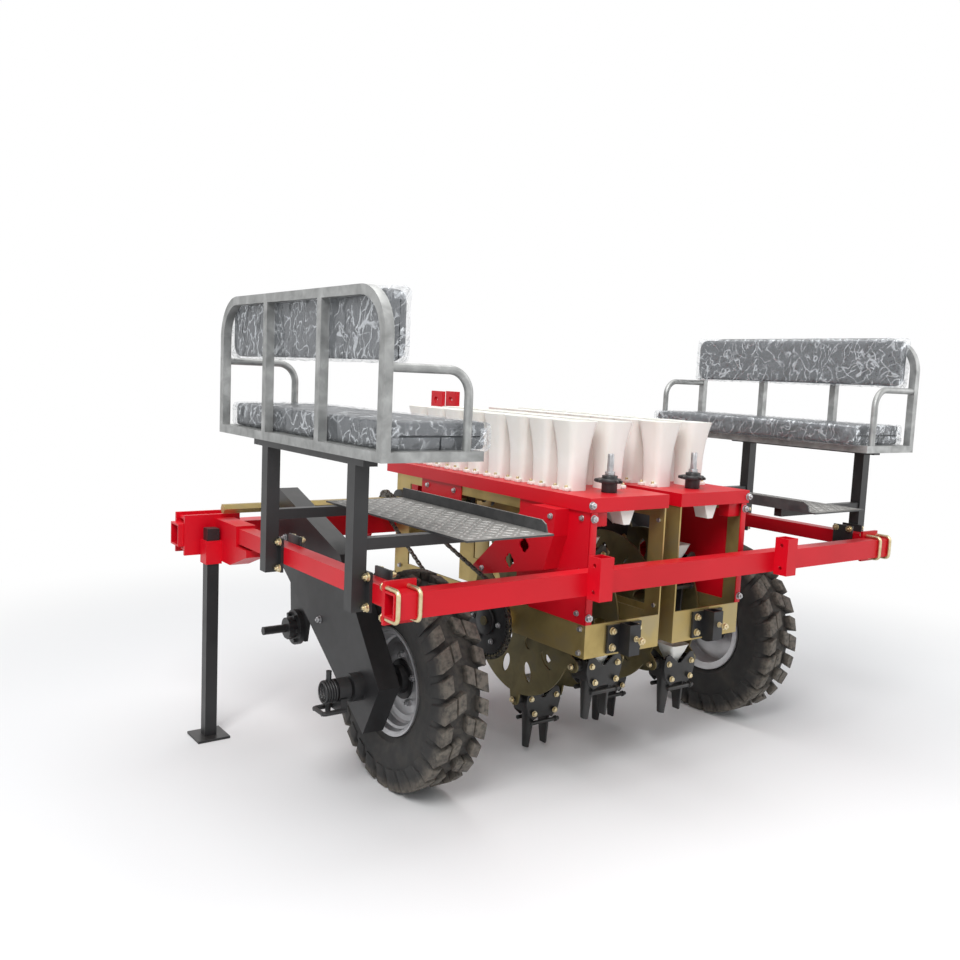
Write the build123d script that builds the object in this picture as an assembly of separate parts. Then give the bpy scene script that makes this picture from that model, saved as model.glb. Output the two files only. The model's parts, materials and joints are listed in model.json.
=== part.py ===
from build123d import *
import math
import os

os.makedirs("parts", exist_ok=True)

# Driving sizes in mm. X is the machine's right, Y is forward, Z is up.
# Y is first counted from the rear beam's rear face, then moved by yMid.

# Ground wheels
tyreRadius = 330.0
tyreWidth = 165.0
beadRadius = 152.0
beadHigh = 22.0
rimWidth = 130.0
rimSheet = 8.0
flangeHigh = 14.5
flangeThick = 10.0
hubRadius = 44.0
lugCount = 14
lugDeep = 26.0
longLugWide = 44.0
shortLugWide = 30.0
wheelY = 495.0
axleRadius = 20.0
runningGap = 0.05

# Planting rows, one each side of the middle
unitX = 187.0
unitHalf = 155.0
unitPlate = 6.0
unitRear = 99.0
plateLow = 443.0
plateTall = 102.0
plantRise = 39.0
pivotRadius = 288.0
billCount = 5
billPhase = {"left": 2.0, "right": -58.0}
billDrop = 130.0
billPin = 8.0
hopperWide = 86.0
hopperHigh = 62.0
plantGap = 42.0
discX = 95.0
discSheet = 6.0
discInset = 26.0
earRadius = 20.0
plantShaft = 15.0
deckClear = 49.0
deckLip = 42.0
deckSheet = 4.0
deckEdge = 8.0
deckBack = 6.0
panelThick = 4.0
guardDeep = 56.0
chainOut = 74.0
shaftEnd = 16.0
sprocketRadius = 110.0
sprocketThick = 12.0
smallRadius = 34.0
chainWide = 14.0
chainThick = 9.0
chainRise = 6.0

# Seedling cups on the decks
cupPitch = 120.0
cupsPerRow = 8
cupRowX = 75.0
cupFirst = 186.0
cupHigh = 214.0
cupBase = 74.0
cupMouth = 115.0
cupWall = 4.0
cupTurn = 90.0
deckMargin = 35.0
deckOverlap = 60.0

# Frame, from the wheels outwards
tyreGap = 187.5
caseGap = 11.5
caseThick = 70.0
caseSheet = 6.0
bossLength = 35.0
bossRadius = 42.0
armGap = 133.0
armSize = 50.0
armWall = 5.0
armTop = 736.0
plateThick = 10.0
rearTall = 66.0
rearDeep = 50.0
rearDown = 5.0
rearOverhang = 5.0
beamWall = 5.0
frontSize = 75.0
frontWall = 6.0
frontDown = 9.0
frontOverhang = 129.0
clampEar = 30.0
clampInset = 18.0
sleeveWall = 8.0
sleeveLong = 200.0
taperLong = 285.0
taperMid = 150.0
taperDeep = 70.0
taperTip = 22.0
socketX = 411.0
socketSize = 50.0
socketRise = 48.0
boltRadius = 6.0

# Three-point hitch
pinHeight = 545.0
pinReach = 135.0
pinShoulder = 412.5
pinRadius = 14.0
pinLength = 85.0
pinEdge = 40.0
mastHeight = 610.0
mastFoot = 250.0
mastTop = 54.0
mastBar = 50.0
cheekX = 36.0
cheekThick = 16.0
topBoreRadius = 12.75
braceSize = 36.0
tieDown = 12.0
tieThick = 30.0

# Drive shaft
shaftBack = 50.0
shaftDrop = 101.0
shaftFlats = 30.0
shaftShort = 3.0
bearingRadius = 42.0
bearingThick = 24.0

# Seats
postSize = 40.0
shoeThick = 8.0
shoeEar = 26.0
postRearIn = 177.0
postFrontIn = 311.0
footRise = 114.0
footSheet = 5.0
footWide = 285.0
footGap = 143.0
footBack = 10.0
footLong = 770.0
footLip = 32.0
footBar = 30.0
railThick = 20.0
seatRise = 200.0
benchBack = 22.0
benchLong = 1015.0
benchOut = 67.0
benchWide = 293.0
benchHigh = 415.0
benchTube = 25.0
benchCorner = 110.0
armrestRise = 222.0
armrestRadius = 11.0
armrestIn = 45.0
armrestBend = 60.0
seatThick = 70.0
seatOverhang = 40.0
seatSheet = 3.0
cushionGap = 8.0
backTall = 174.0
backDown = 6.0
backThick = 60.0

# Parking legs
legSize = 40.0
legBack = 52.0
legGap = 0.5
legWall = 7.0
legSocketTall = 78.0
legAbove = 40.0
footPad = 110.0
padThick = 8.0

# What follows from the sizes above
plateHigh = plateLow + plateTall
plantZ = plateLow + plantRise
plantY = unitRear + unitPlate + plantGap + hopperWide / 2 + pivotRadius
deckLow = plantZ + pivotRadius + hopperHigh + deckClear
deckTop = deckLow + deckLip
cupFirstY = unitRear + cupFirst
cupLastY = cupFirstY + (cupsPerRow - 1) * cupPitch
deckFront = cupLastY + cupTurn + deckMargin
frontRear = deckFront - deckOverlap
frontFace = frontRear + frontSize
pinY = frontFace + pinReach
shaftY = frontRear - shaftBack
shaftZ = deckLow - shaftDrop
legY = frontRear - legBack
inner = unitX - unitHalf
outer = unitX + unitHalf
panelX = outer + panelThick
guardX = panelX + guardDeep
sprocketX = panelX + chainOut
halfTyre = tyreWidth / 2
wheelX = sprocketX + shaftEnd + tyreGap + halfTyre
caseInner = wheelX + halfTyre + caseGap
caseOuter = caseInner + caseThick
armInner = caseOuter + armGap
armOuter = armInner + armSize
armLow = armTop - armSize
rearHalf = armOuter + rearOverhang
rearTop = armTop - rearDown
rearLow = rearTop - rearTall
frontHalf = armOuter + frontOverhang
frontTop = armTop - frontDown
frontLow = frontTop - frontSize
sleeveLow = armLow - sleeveWall
topZ = pinHeight + mastHeight
footTop = armTop + footRise
footOuter = armInner - footGap
footInner = footOuter - footWide
benchLow = footTop + seatRise
benchTop = benchLow + benchHigh
benchOuter = armOuter + benchOut
benchInner = benchOuter - benchWide
benchRear = -benchBack
benchFront = benchRear + benchLong
postRearY = benchRear + postRearIn
postFrontY = benchFront - postFrontIn
postOut = armOuter + shoeThick + postSize
legX = armOuter + sleeveWall + legWall + legSize / 2
legOut = legX + legSize / 2 + legWall
rearEnd = -socketSize
frontEnd = pinY + pinEdge
yMid = (rearEnd + frontEnd) / 2


def span(x0, x1, y0, y1, z0, z1):
    block = Box(x1 - x0, y1 - y0, z1 - z0)
    return Pos((x0 + x1) / 2, (y0 + y1) / 2 - yMid, (z0 + z1) / 2) * block


def tubeX(x0, x1, y0, y1, z0, z1, wall):
    outside = span(x0, x1, y0, y1, z0, z1)
    return outside - span(x0 - 1, x1 + 1, y0 + wall, y1 - wall, z0 + wall, z1 - wall)


def tubeY(x0, x1, y0, y1, z0, z1, wall):
    outside = span(x0, x1, y0, y1, z0, z1)
    return outside - span(x0 + wall, x1 - wall, y0 - 1, y1 + 1, z0 + wall, z1 - wall)


def tubeZ(x0, x1, y0, y1, z0, z1, wall):
    outside = span(x0, x1, y0, y1, z0, z1)
    return outside - span(x0 + wall, x1 - wall, y0 + wall, y1 - wall, z0 - 1, z1 + 1)


def sidePlate(points, x0, x1):
    # a flat plate with its outline in Y and Z, running from x0 to x1
    face = make_face(Polyline(*[(y - yMid, z) for y, z in points], close=True))
    plane = Plane(origin=(x0, 0, 0), x_dir=(0, 1, 0), z_dir=(1, 0, 0))
    return extrude(plane * face, amount=x1 - x0)


def rodX(x0, x1, y, z, radius):
    plane = Plane(origin=(x0, y - yMid, z), x_dir=(0, 1, 0), z_dir=(1, 0, 0))
    return extrude(plane * Circle(radius), amount=x1 - x0)


def rodY(x, y0, y1, z, radius):
    plane = Plane(origin=(x, y0 - yMid, z), x_dir=(1, 0, 0), z_dir=(0, 1, 0))
    return extrude(plane * Circle(radius), amount=y1 - y0)


def rodZ(x, y, z0, z1, radius):
    plane = Plane(origin=(x, y - yMid, z0))
    return extrude(plane * Circle(radius), amount=z1 - z0)


def hexX(x0, x1, y, z, flats):
    plane = Plane(origin=(x0, y - yMid, z), x_dir=(0, 1, 0), z_dir=(1, 0, 0))
    return extrude(plane * RegularPolygon(flats / 2, 6, major_radius=False), amount=x1 - x0)


def bar(start, end, wide, deep):
    # a straight square bar between two points
    a = Vector(start[0], start[1] - yMid, start[2])
    b = Vector(end[0], end[1] - yMid, end[2])
    along = (b - a).normalized()
    side = Vector(0, 1, 0) if abs(along.Y) < 0.9 else Vector(1, 0, 0)
    cross = side.cross(along).normalized()
    plane = Plane(origin=a, x_dir=cross, z_dir=along)
    return extrude(plane * Rectangle(wide, deep), amount=(b - a).length)


def both(shape):
    return [shape, mirror(shape, about=Plane.YZ)]


def spinX(profile, x, y, z):
    # turn a closed outline of (radius, offset along X) about the X axis through y, z
    face = make_face(Polyline(*[(r, o) for r, o in profile], close=True))
    plane = Plane(origin=(0, 0, 0), x_dir=(0, 1, 0), z_dir=(0, 0, -1))
    solid = revolve(plane * face, axis=Axis.X)
    return Pos(x, y - yMid, z) * solid


def bentTube(points, radius, profile):
    line = FilletPolyline(*points, radius=radius)
    start = Plane(origin=line @ 0, z_dir=line % 0)
    return sweep(start * profile, path=line)


def squareRing(size, corner, z, steps):
    # a square with its corners rounded in straight steps, at height z
    points = []
    for quarter in range(4):
        for k in range(steps + 1):
            a = math.radians(90 * quarter + 90 * k / steps)
            mid = math.radians(90 * quarter + 45)
            place = (size / 2 - corner) * math.sqrt(2)
            x = place * math.cos(mid) + corner * math.cos(a)
            y = place * math.sin(mid) + corner * math.sin(a)
            points.append((x, y))
    return Plane(origin=(0, 0, z)) * make_face(Polyline(*points, close=True))


written = {}


def save(name, shape):
    solids = []
    for item in shape if isinstance(shape, (list, tuple)) else [shape]:
        solids.extend(item.solids())
    whole = solids[0] if len(solids) == 1 else Compound(children=solids)
    whole.label = name
    export_step(whole, os.path.join("parts", name + ".step"))
    box = whole.bounding_box()
    written[name] = (len(solids), box, sum(s.volume for s in solids))


# Main frame
frontBeam = tubeX(-frontHalf, frontHalf, frontRear, frontFace, frontLow, frontTop, frontWall)
save("front_beam", frontBeam)

rearBeam = tubeX(-rearHalf, rearHalf, 0, rearDeep, rearLow, rearTop, beamWall)
crossBolt = 6.5
for side in (-1, 1):
    x = side * socketX
    half = socketSize / 2
    socket = tubeZ(x - half, x + half, -socketSize, 0, rearLow - 8, rearTop + socketRise, beamWall)
    for z in (rearTop + socketRise / 2, rearLow + 15):
        socket = socket - rodX(x - half - 1, x + half + 1, -half, z, crossBolt)
    rearBeam = rearBeam + socket
save("rear_beam", rearBeam)

earHigh = 22.0
earWide = 38.0
armFront = frontRear - 40.0
arm = tubeY(-armOuter, -armInner, rearDeep + plateThick, armFront, armLow, armTop, armWall)
endPlate = span(-armOuter - 4, -armInner + earWide, rearDeep, rearDeep + plateThick,
                rearLow - earHigh, rearTop + earHigh)
save("side_arms", both(arm + endPlate))

sleeveEnd = frontRear - plateThick
sleeveOut = armOuter + sleeveWall
sleeveIn = armInner - sleeveWall
sleeve = tubeY(-sleeveOut, -sleeveIn, frontRear - sleeveLong, sleeveEnd, sleeveLow, armTop + sleeveWall, sleeveWall)
taperOutline = [(frontRear - taperLong, sleeveLow), (sleeveEnd, sleeveLow), (sleeveEnd, sleeveLow - taperDeep),
                (frontRear - taperMid, sleeveLow - taperDeep), (frontRear - taperLong, sleeveLow - taperTip)]
taper = sidePlate(taperOutline, -sleeveOut, -sleeveIn)
clampOut = frontHalf - clampInset
clampIn = armInner - clampEar
seatPlate = span(-clampOut, -clampIn, sleeveEnd, frontRear, frontLow - clampEar, frontTop + clampEar)
legReach = legSize / 2 + legWall
legSlot = legSize / 2 + legGap
legSocket = span(-legOut, -sleeveOut, legY - legReach, legY + legReach, sleeveLow - legSocketTall, sleeveLow)
legHole = span(-legX - legSlot, -legX + legSlot, legY - legSlot, legY + legSlot,
               sleeveLow - legSocketTall - 2, sleeveLow + 2)
holder = sleeve + taper + seatPlate + legSocket - legHole
save("arm_sleeves", both(holder))

clampPlate = span(-clampOut, -clampIn, frontFace, frontFace + plateThick, frontLow - clampEar, frontTop + clampEar)
studRadius = 7.0
for x in (-clampOut + 17, -clampIn - 18):
    for z in (frontLow - 2 * studRadius, frontTop + 2 * studRadius):
        clampPlate = clampPlate + rodY(x, frontRear, frontFace, z, studRadius)
save("beam_clamps", both(clampPlate))

uBolts = []
boltY = -boltRadius - yMid
plateY = rearDeep - yMid
uBoltOut = 3.0
uBoltIn = 15.0
for x in (-armOuter + uBoltOut, -armInner + uBoltIn):
    boltLine = Polyline((x, plateY, rearLow - boltRadius), (x, boltY, rearLow - boltRadius),
                        (x, boltY, rearTop + boltRadius), (x, plateY, rearTop + boltRadius))
    boltStart = Plane(origin=boltLine @ 0, z_dir=boltLine % 0)
    uBolts.extend(both(sweep(boltStart * Circle(boltRadius), path=boltLine, transition=Transition.RIGHT)))
save("beam_u_bolts", uBolts)

# Three-point hitch
cheekBack = 45.0
cheekFront = 35.0
blockLow = 90.0
blockHigh = 55.0
mast = span(-62, 62, pinY - cheekBack, pinY + 5, topZ - blockLow, topZ - blockHigh)
for side in (-1, 1):
    foot = (side * mastFoot, frontRear + frontSize / 2, frontTop - 60)
    head = (side * mastTop, pinY - 20, topZ - 66)
    leg = bar(foot, head, mastBar, mastBar)
    leg = leg - span(-2 * mastFoot, 2 * mastFoot, frontRear - 200, pinY, frontTop - 300, frontTop)
    cheek = span(side * cheekX - cheekThick / 2, side * cheekX + cheekThick / 2, pinY - cheekBack, pinY + cheekFront,
                 topZ - 75, topZ + 35)
    mast = mast + leg + cheek
tieZ = deckLow - tieDown
tieY = frontRear - 150.0
brace = bar((0, pinY - 30, topZ - 72), (0, tieY, tieZ - 18), braceSize, braceSize)
brace = brace - span(-60, 60, tieY - 140, tieY + 60, tieZ - 200, tieZ)
mast = mast + brace
mast = mast + span(-inner, inner, tieY - 40, tieY + 40, tieZ - tieThick, tieZ)
mast = mast - rodX(-cheekX - cheekThick, cheekX + cheekThick, pinY, topZ, topBoreRadius)
save("hitch_mast", mast)

hitchThick = 16.0
hitchDrop = 35.0
hitchOutline = [(frontFace, frontTop), (frontFace + 60, frontTop), (frontEnd, pinHeight + hitchDrop),
                (frontEnd, pinHeight - hitchDrop), (pinY - pinEdge, pinHeight - hitchDrop), (frontFace, frontLow)]
hitchPlate = sidePlate(hitchOutline, -pinShoulder, -pinShoulder + hitchThick)
hitchPlate = hitchPlate + span(-pinShoulder - 30, -pinShoulder + 60, frontFace, frontFace + 12, frontLow, frontTop)
hitchPlate = hitchPlate + rodX(-pinShoulder - pinLength, -pinShoulder, pinY, pinHeight, pinRadius)
save("lower_hitch", both(hitchPlate))

# Seats
posts = []
reaches = []
postLow = armLow - shoeEar
for y in (postRearY, postFrontY):
    post = span(-postOut, -postOut + postSize, y - postSize / 2, y + postSize / 2, postLow, benchLow - railThick)
    shoe = span(-armOuter - shoeThick, -armOuter, y - postSize, y + postSize, postLow, armTop + shoeEar)
    posts.extend(both(post + shoe))
    reach = span(-postOut + postSize, -footInner - 20, y - footBar / 2, y + footBar / 2,
                 footTop - footSheet - footBar, footTop - footSheet)
    reaches.extend(both(reach))
railOver = 60.0
rail = span(-postOut, -postOut + postSize, postRearY - railOver, postFrontY + railOver + 20,
            benchLow - railThick, benchLow)
save("seat_posts", posts)
save("foot_arms", reaches)
save("seat_rails", both(rail))

footRear = -footBack
footFront = footRear + footLong
plate = span(-footOuter, -footInner, footRear, footFront, footTop - footSheet, footTop)
lipOutline = [(footRear + 25, footTop), (footFront, footTop), (footFront, footTop + footLip),
              (footRear + 50, footTop + footLip), (footRear + 32, footTop + footLip - 10)]
lip = sidePlate(lipOutline, -footInner - footSheet, -footInner)
save("foot_plates", both(plate + lip))

tube = benchTube
backX = benchOuter - tube / 2
backY0 = benchRear + tube / 2
backY1 = benchFront - tube / 2
backZ = benchTop - tube / 2
hoopLine = [(-backX, backY0 - yMid, benchLow), (-backX, backY0 - yMid, backZ),
            (-backX, backY1 - yMid, backZ), (-backX, backY1 - yMid, benchLow)]
bench = bentTube(hoopLine, benchCorner, Rectangle(tube, tube))
bench = bench + span(-benchOuter, -benchOuter + tube, benchRear, benchFront, benchLow, benchLow + tube)
bench = bench + span(-benchInner - tube, -benchInner, benchRear, benchFront, benchLow, benchLow + tube)
for y in (benchRear, benchFront - tube):
    bench = bench + span(-benchOuter, -benchInner, y, y + tube, benchLow, benchLow + tube)
uprightGap = benchLong / 3
for k in (1, 2):
    y = benchRear + k * uprightGap
    bench = bench + span(-benchOuter, -benchOuter + tube, y - tube / 2, y + tube / 2, benchLow, backZ)
    bench = bench + span(-benchOuter, -benchInner, y - tube / 2, y + tube / 2, benchLow, benchLow + tube)
armrestX = benchInner + armrestIn
armrestZ = benchLow + armrestRise
for y in (backY0, backY1):
    restLine = [(-backX, y - yMid, armrestZ), (-armrestX, y - yMid, armrestZ), (-armrestX, y - yMid, benchLow + tube - 2)]
    bench = bench + bentTube(restLine, armrestBend, Circle(armrestRadius))
bench = bench + span(-benchOuter + 1, -benchInner - 1, benchRear + 1, benchFront - 1,
                     benchLow + tube - seatSheet, benchLow + tube)
save("bench_frame_left", bench)
save("bench_frame_right", mirror(bench, about=Plane.YZ))

seatY0 = benchRear + tube + cushionGap
seatY1 = benchFront - tube - cushionGap
seatBase = benchLow + tube
seatCorner = 25.0
backCorner = 40.0
seat = span(-benchOuter + tube + 6, -benchInner + seatOverhang, seatY0, seatY1, seatBase, seatBase + seatThick)
seat = fillet(seat.edges().filter_by(Axis.Z), seatCorner)
save("seat_cushion_left", seat)
save("seat_cushion_right", mirror(seat, about=Plane.YZ))
backLow = benchTop - backDown - backTall
back = span(-benchOuter + tube, -benchOuter + tube + backThick, seatY0, seatY1, backLow, backLow + backTall)
back = fillet(back.edges().filter_by(Axis.X), backCorner)
save("back_cushion_left", back)
save("back_cushion_right", mirror(back, about=Plane.YZ))

# Wheel drive
caseOutline = [(wheelY - 30, tyreRadius - 138), (shaftY - 135, shaftZ - 222), (frontRear, shaftZ - 108),
               (frontRear, shaftZ + 52), (shaftY - 45, shaftZ + 70), (wheelY + 145, tyreRadius + 370),
               (wheelY + 39, tyreRadius + 222), (wheelY - 117, tyreRadius + 20)]
case = sidePlate(caseOutline, -caseOuter, -caseInner)
caseFace = make_face(Polyline(*[(y - yMid, z) for y, z in caseOutline], close=True))
caseWell = offset(caseFace, amount=-caseSheet)
casePlane = Plane(origin=(-caseOuter + caseSheet, 0, 0), x_dir=(0, 1, 0), z_dir=(1, 0, 0))
case = case - extrude(casePlane * caseWell, amount=caseThick)
case = case + rodX(-caseOuter - bossLength, -caseOuter, wheelY, tyreRadius, bossRadius)
hubY = shaftY - 100.0
hubZ = shaftZ - 408.0
hubIn = 58.0
hubPlate = 12.0
hubEdge = 55.0
hubOutline = [(shaftY - 200, shaftZ - 260), (hubY - hubEdge, hubZ - 40), (hubY + hubEdge, hubZ - 40),
              (shaftY - 20, shaftZ - 140)]
case = case + sidePlate(hubOutline, -caseOuter + hubIn, -caseOuter + hubIn + hubPlate)
case = case - rodX(-caseOuter - bossLength - 1, -caseInner + 1, wheelY, tyreRadius, axleRadius + runningGap)
case = case - hexX(-caseOuter - 1, -caseInner + 1, shaftY, shaftZ, shaftFlats)
save("chain_cases", both(case))

hubFace = caseOuter - hubIn
flangeDeep = 18.0
flangeRadius = 60.0
bossDeep = 28.0
stubBoss = 36.0
stubLong = 83.0
stubRadius = 14.0
studCount = 6
studRing = 47.0
studDeep = 12.0
hubStud = 7.0
hub = rodX(-hubFace - flangeDeep, -hubFace, hubY, hubZ, flangeRadius)
bossFace = hubFace + flangeDeep + bossDeep
hub = hub + rodX(-bossFace, -hubFace - flangeDeep, hubY, hubZ, stubBoss)
hub = hub + rodX(-bossFace - stubLong, -bossFace, hubY, hubZ, stubRadius)
for k in range(studCount):
    a = math.radians(360 / studCount * k)
    hub = hub + rodX(-hubFace - flangeDeep - studDeep, -hubFace - flangeDeep, hubY + studRing * math.cos(a),
                     hubZ + studRing * math.sin(a), hubStud)
save("stub_hubs", both(hub))

shaftHalf = armOuter - shaftShort
shaft = hexX(-shaftHalf, shaftHalf, shaftY, shaftZ, shaftFlats)
save("drive_shaft", shaft)

# Planting units
railTall = 32.0
railLow = deckLow - railTall
windowRear = unitRear + 62.0
windowFront = frontRear - 95.0
shaftHole = 24.0
bushRadius = 34.0
bushLong = 12.0
frontEar = 40.0


def unitFrame():
    outline = [(unitRear, plateLow), (frontRear, plateLow), (frontRear, deckLow), (unitRear, deckLow)]
    window = [(windowRear, plateHigh), (windowFront, plateHigh), (windowFront, railLow), (windowRear, railLow)]
    frame = span(-outer, -inner, unitRear, unitRear + unitPlate, plateLow, plateHigh)
    frame = frame + span(-outer, -inner, frontRear - unitPlate, frontRear, frontLow - frontEar, frontTop + frontEar)
    for x in (-outer, -inner - unitPlate):
        web = sidePlate(outline, x, x + unitPlate) - sidePlate(window, x - 1, x + unitPlate + 1)
        web = web - rodX(x - 1, x + unitPlate + 1, shaftY, shaftZ, shaftHole)
        frame = frame + web + rodX(x - bushLong, x + unitPlate, plantY, plantZ, bushRadius)
    return frame - rodX(-outer - 20, -inner + 20, plantY, plantZ, plantShaft + runningGap)


unit = unitFrame()
save("unit_frame_left", unit)
save("unit_frame_right", mirror(unit, about=Plane.YZ))

panelOutline = [(unitRear + 2, plateHigh), (unitRear + 261, plateHigh), (unitRear + 331, plateHigh + 65),
                (unitRear + 331, deckLow), (unitRear + 2, deckLow)]
panel = sidePlate(panelOutline, -panelX, -outer)
frontOutline = [(frontRear - 430, deckLow - 181), (frontRear - 180, deckLow - 181), (frontRear - 180, deckLow),
                (frontRear - 430, deckLow)]
frontPanel = sidePlate(frontOutline, -panelX, -outer)
save("side_panels", both(panel) + both(frontPanel))

deckOut = panelX + deckEdge
deckIn = inner - 4.0
deckRear = unitRear - deckBack
deck = span(-deckOut, -deckIn, deckRear, deckFront, deckLow, deckTop)
deckWell = span(-deckOut + deckSheet, -deckIn - deckSheet, deckRear + deckSheet, deckFront - deckSheet,
                deckLow - 1, deckTop - deckSheet)
deck = deck - deckWell
save("deck_left", deck)
save("deck_right", mirror(deck, about=Plane.YZ))

cupFlare = cupMouth - cupBase
cupRings = [(cupBase, 0.0), (cupBase + 0.10 * cupFlare, 0.45 * cupHigh), (cupBase + 0.30 * cupFlare, 0.65 * cupHigh),
            (cupMouth, cupHigh)]
cupCorner = 0.24
cupOuter = []
cupHollow = []
for size, z in cupRings:
    within = size - 2 * cupWall
    cupOuter.append(squareRing(size, cupCorner * size, z, 2))
    cupHollow.append(squareRing(within, cupCorner * within, max(z, cupWall), 2))
cup = loft(cupOuter, ruled=True) - loft(cupHollow, ruled=True)
cupPlaces = []
for k in range(cupsPerRow):
    for s in (-1, 1):
        cupPlaces.append((unitX + s * cupRowX, cupFirstY + k * cupPitch))
for label, sign in (("left", -1), ("right", 1)):
    cups = [Pos(sign * x, y - yMid, deckTop) * cup for x, y in cupPlaces]
    save("cups_" + label, cups)

gearRows = [(12.0, 0.0, 118.0), (24.0, 0.0, 26.0), (50.0, 16.0, 26.0)]
sprockets = []
for y in (cupFirstY - cupTurn, cupLastY + cupTurn):
    gear = None
    for radius, low, high in gearRows:
        step = rodZ(-unitX, y, deckTop + low, deckTop + high, radius)
        gear = step if gear is None else gear + step
    sprockets.extend(both(gear))
save("cup_sprockets", sprockets)

guardSteps = [(91, -1), (205, -1), (270, -39), (378, -140), (495, -241), (461, -266), (134, -189), (96, -81)]
guardOutline = [(unitRear + y, deckLow + z) for y, z in guardSteps]
guard = sidePlate(guardOutline, -guardX, -panelX)
middle = [sum(p[i] for p in guardOutline) / len(guardOutline) for i in (0, 1)]
guardShrink = 0.94
guardWell = []
for y, z in guardOutline:
    guardWell.append((middle[0] + (y - middle[0]) * guardShrink, middle[1] + (z - middle[1]) * guardShrink))
guard = guard - sidePlate(guardWell, -guardX + panelThick, -panelX + 1)
lobe = 12.0
guardHoles = [(176, -66, 1.0, 0.5), (231, -131, 0.9, 0.9), (301, -191, 0.9, 0.9)]
for y, z, along, up in guardHoles:
    for dy, dz in ((along, 0), (-along, 0), (0, up), (0, -up)):
        guard = guard - rodX(-guardX - 1, -guardX + panelThick + 1, unitRear + y + lobe * dy,
                             deckLow + z + lobe * dz, lobe)
save("chain_guards", both(guard))

plateX = 70.0
plateDeep = 8.0
unitSocket = 44.0
plateEdge = 8.0
socketPlate = span(-unitX - plateX, -unitX + plateX, unitRear - plateDeep, unitRear,
                   plateLow + plateEdge, plateHigh - plateEdge)
socketTube = tubeZ(-unitX - unitSocket / 2, -unitX + unitSocket / 2, unitRear - plateDeep - unitSocket,
                   unitRear - plateDeep, plateLow + plateEdge / 2, plateHigh - plateEdge / 2, beamWall)
save("socket_plates", both(socketPlate + socketTube))

chuteTop = deckTop - deckSheet
chuteTall = 84.0
chuteWide = 46.0
chuteTip = 12.0
chute = make_face(Polyline((-unitX - chuteWide, chuteTop), (-unitX + chuteWide, chuteTop),
                           (-unitX + chuteTip, chuteTop - chuteTall), (-unitX - chuteTip, chuteTop - chuteTall),
                           close=True))
chutePlane = Plane(origin=(0, unitRear + 12 - yMid, 0), x_dir=(1, 0, 0), z_dir=(0, -1, 0))
save("drop_chutes", both(extrude(chutePlane * chute, amount=-50)))

bearings = []
for x0 in (-outer - bearingThick, -inner - unitPlate - bearingThick):
    block = rodX(x0, x0 + bearingThick, shaftY, shaftZ, bearingRadius)
    block = block - hexX(x0 - 1, x0 + bearingThick + 1, shaftY, shaftZ, shaftFlats)
    bearings.extend(both(block))
save("shaft_bearings", bearings)

bigRadius = sprocketRadius + chainRise


def loopFace(r0, r1):
    # two arcs and the two straight runs that touch both, r0 at the shaft and r1 at the planting wheel
    a = (shaftY - yMid, shaftZ)
    b = (plantY - yMid, plantZ)
    ahead = math.atan2(a[1] - b[1], a[0] - b[0])
    spread = math.acos((r1 - r0) / math.dist(a, b))

    def spot(middle, radius, turn):
        return (middle[0] + radius * math.cos(turn), middle[1] + radius * math.sin(turn))

    above = Line(spot(b, r1, ahead + spread), spot(a, r0, ahead + spread))
    nose = ThreePointArc(spot(a, r0, ahead + spread), spot(a, r0, ahead), spot(a, r0, ahead - spread))
    below = Line(spot(a, r0, ahead - spread), spot(b, r1, ahead - spread))
    heel = ThreePointArc(spot(b, r1, ahead - spread), spot(b, r1, ahead + math.pi), spot(b, r1, ahead + spread))
    return make_face([above, nose, below, heel])


chainIn = sprocketX - chainWide / 2
chainOn = sprocketX + chainWide / 2
chainPlane = Plane(origin=(-chainOn, 0, 0), x_dir=(0, 1, 0), z_dir=(1, 0, 0))
band = loopFace(smallRadius + chainThick, bigRadius + chainThick) - loopFace(smallRadius, bigRadius)
chain = extrude(chainPlane * band, amount=chainWide)
frontGear = rodX(-chainOn, -chainIn, shaftY, shaftZ, smallRadius)
frontGear = frontGear - hexX(-chainOn - 1, -chainIn + 1, shaftY, shaftZ, shaftFlats)
save("drive_chains", both(chain + frontGear))

# Ground wheels
rimHalf = rimWidth / 2
flangeIn = rimHalf - flangeThick
flangeOut = beadRadius + flangeHigh
rimIn = beadRadius - rimSheet
rimProfile = [(axleRadius, -46), (hubRadius, -46), (hubRadius, -8), (rimIn - 26, -8), (rimIn - 16, -30),
              (rimIn, -40), (rimIn, -rimHalf), (flangeOut, -rimHalf), (flangeOut, -flangeIn), (beadRadius, -flangeIn),
              (beadRadius, flangeIn), (flangeOut, flangeIn), (flangeOut, rimHalf), (rimIn, rimHalf), (rimIn, -22),
              (rimIn - 20, -10), (rimIn - 32, 4), (hubRadius, 4), (hubRadius, 40), (axleRadius, 40)]
crownRadius = tyreRadius - lugDeep
section = crownRadius - beadRadius
tyreFacets = 2 * lugCount
sideRings = [(4.0, 0.68), (34.0, 1.0)]
treadThick = 16.0
wallThick = 14.0
lugFoot = beadRadius + 0.763 * section
lugInner = 8.0
shortLugLong = 38.0
lugShoulder = 16.0
lugRows = [(lugInner, halfTyre, longLugWide, 0.0, lugShoulder),
           (halfTyre - shortLugLong, halfTyre - 2.0, shortLugWide, 0.5, lugShoulder)]


def facetRing(outline):
    # a closed outline of (offset along X, radius) carried round in flat facets
    def spot(x, r, k):
        a = math.pi * (2 * k + 1) / tyreFacets
        return (x, r * math.sin(a), r * math.cos(a))

    faces = []
    for k in range(tyreFacets):
        for i in range(len(outline)):
            x0, r0 = outline[i]
            x1, r1 = outline[(i + 1) % len(outline)]
            quad = [spot(x0, r0, k), spot(x1, r1, k), spot(x1, r1, k + 1), spot(x0, r0, k + 1)]
            faces.append(Face(Wire.make_polygon(quad, close=True)))
    return Solid(Shell(faces))


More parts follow.
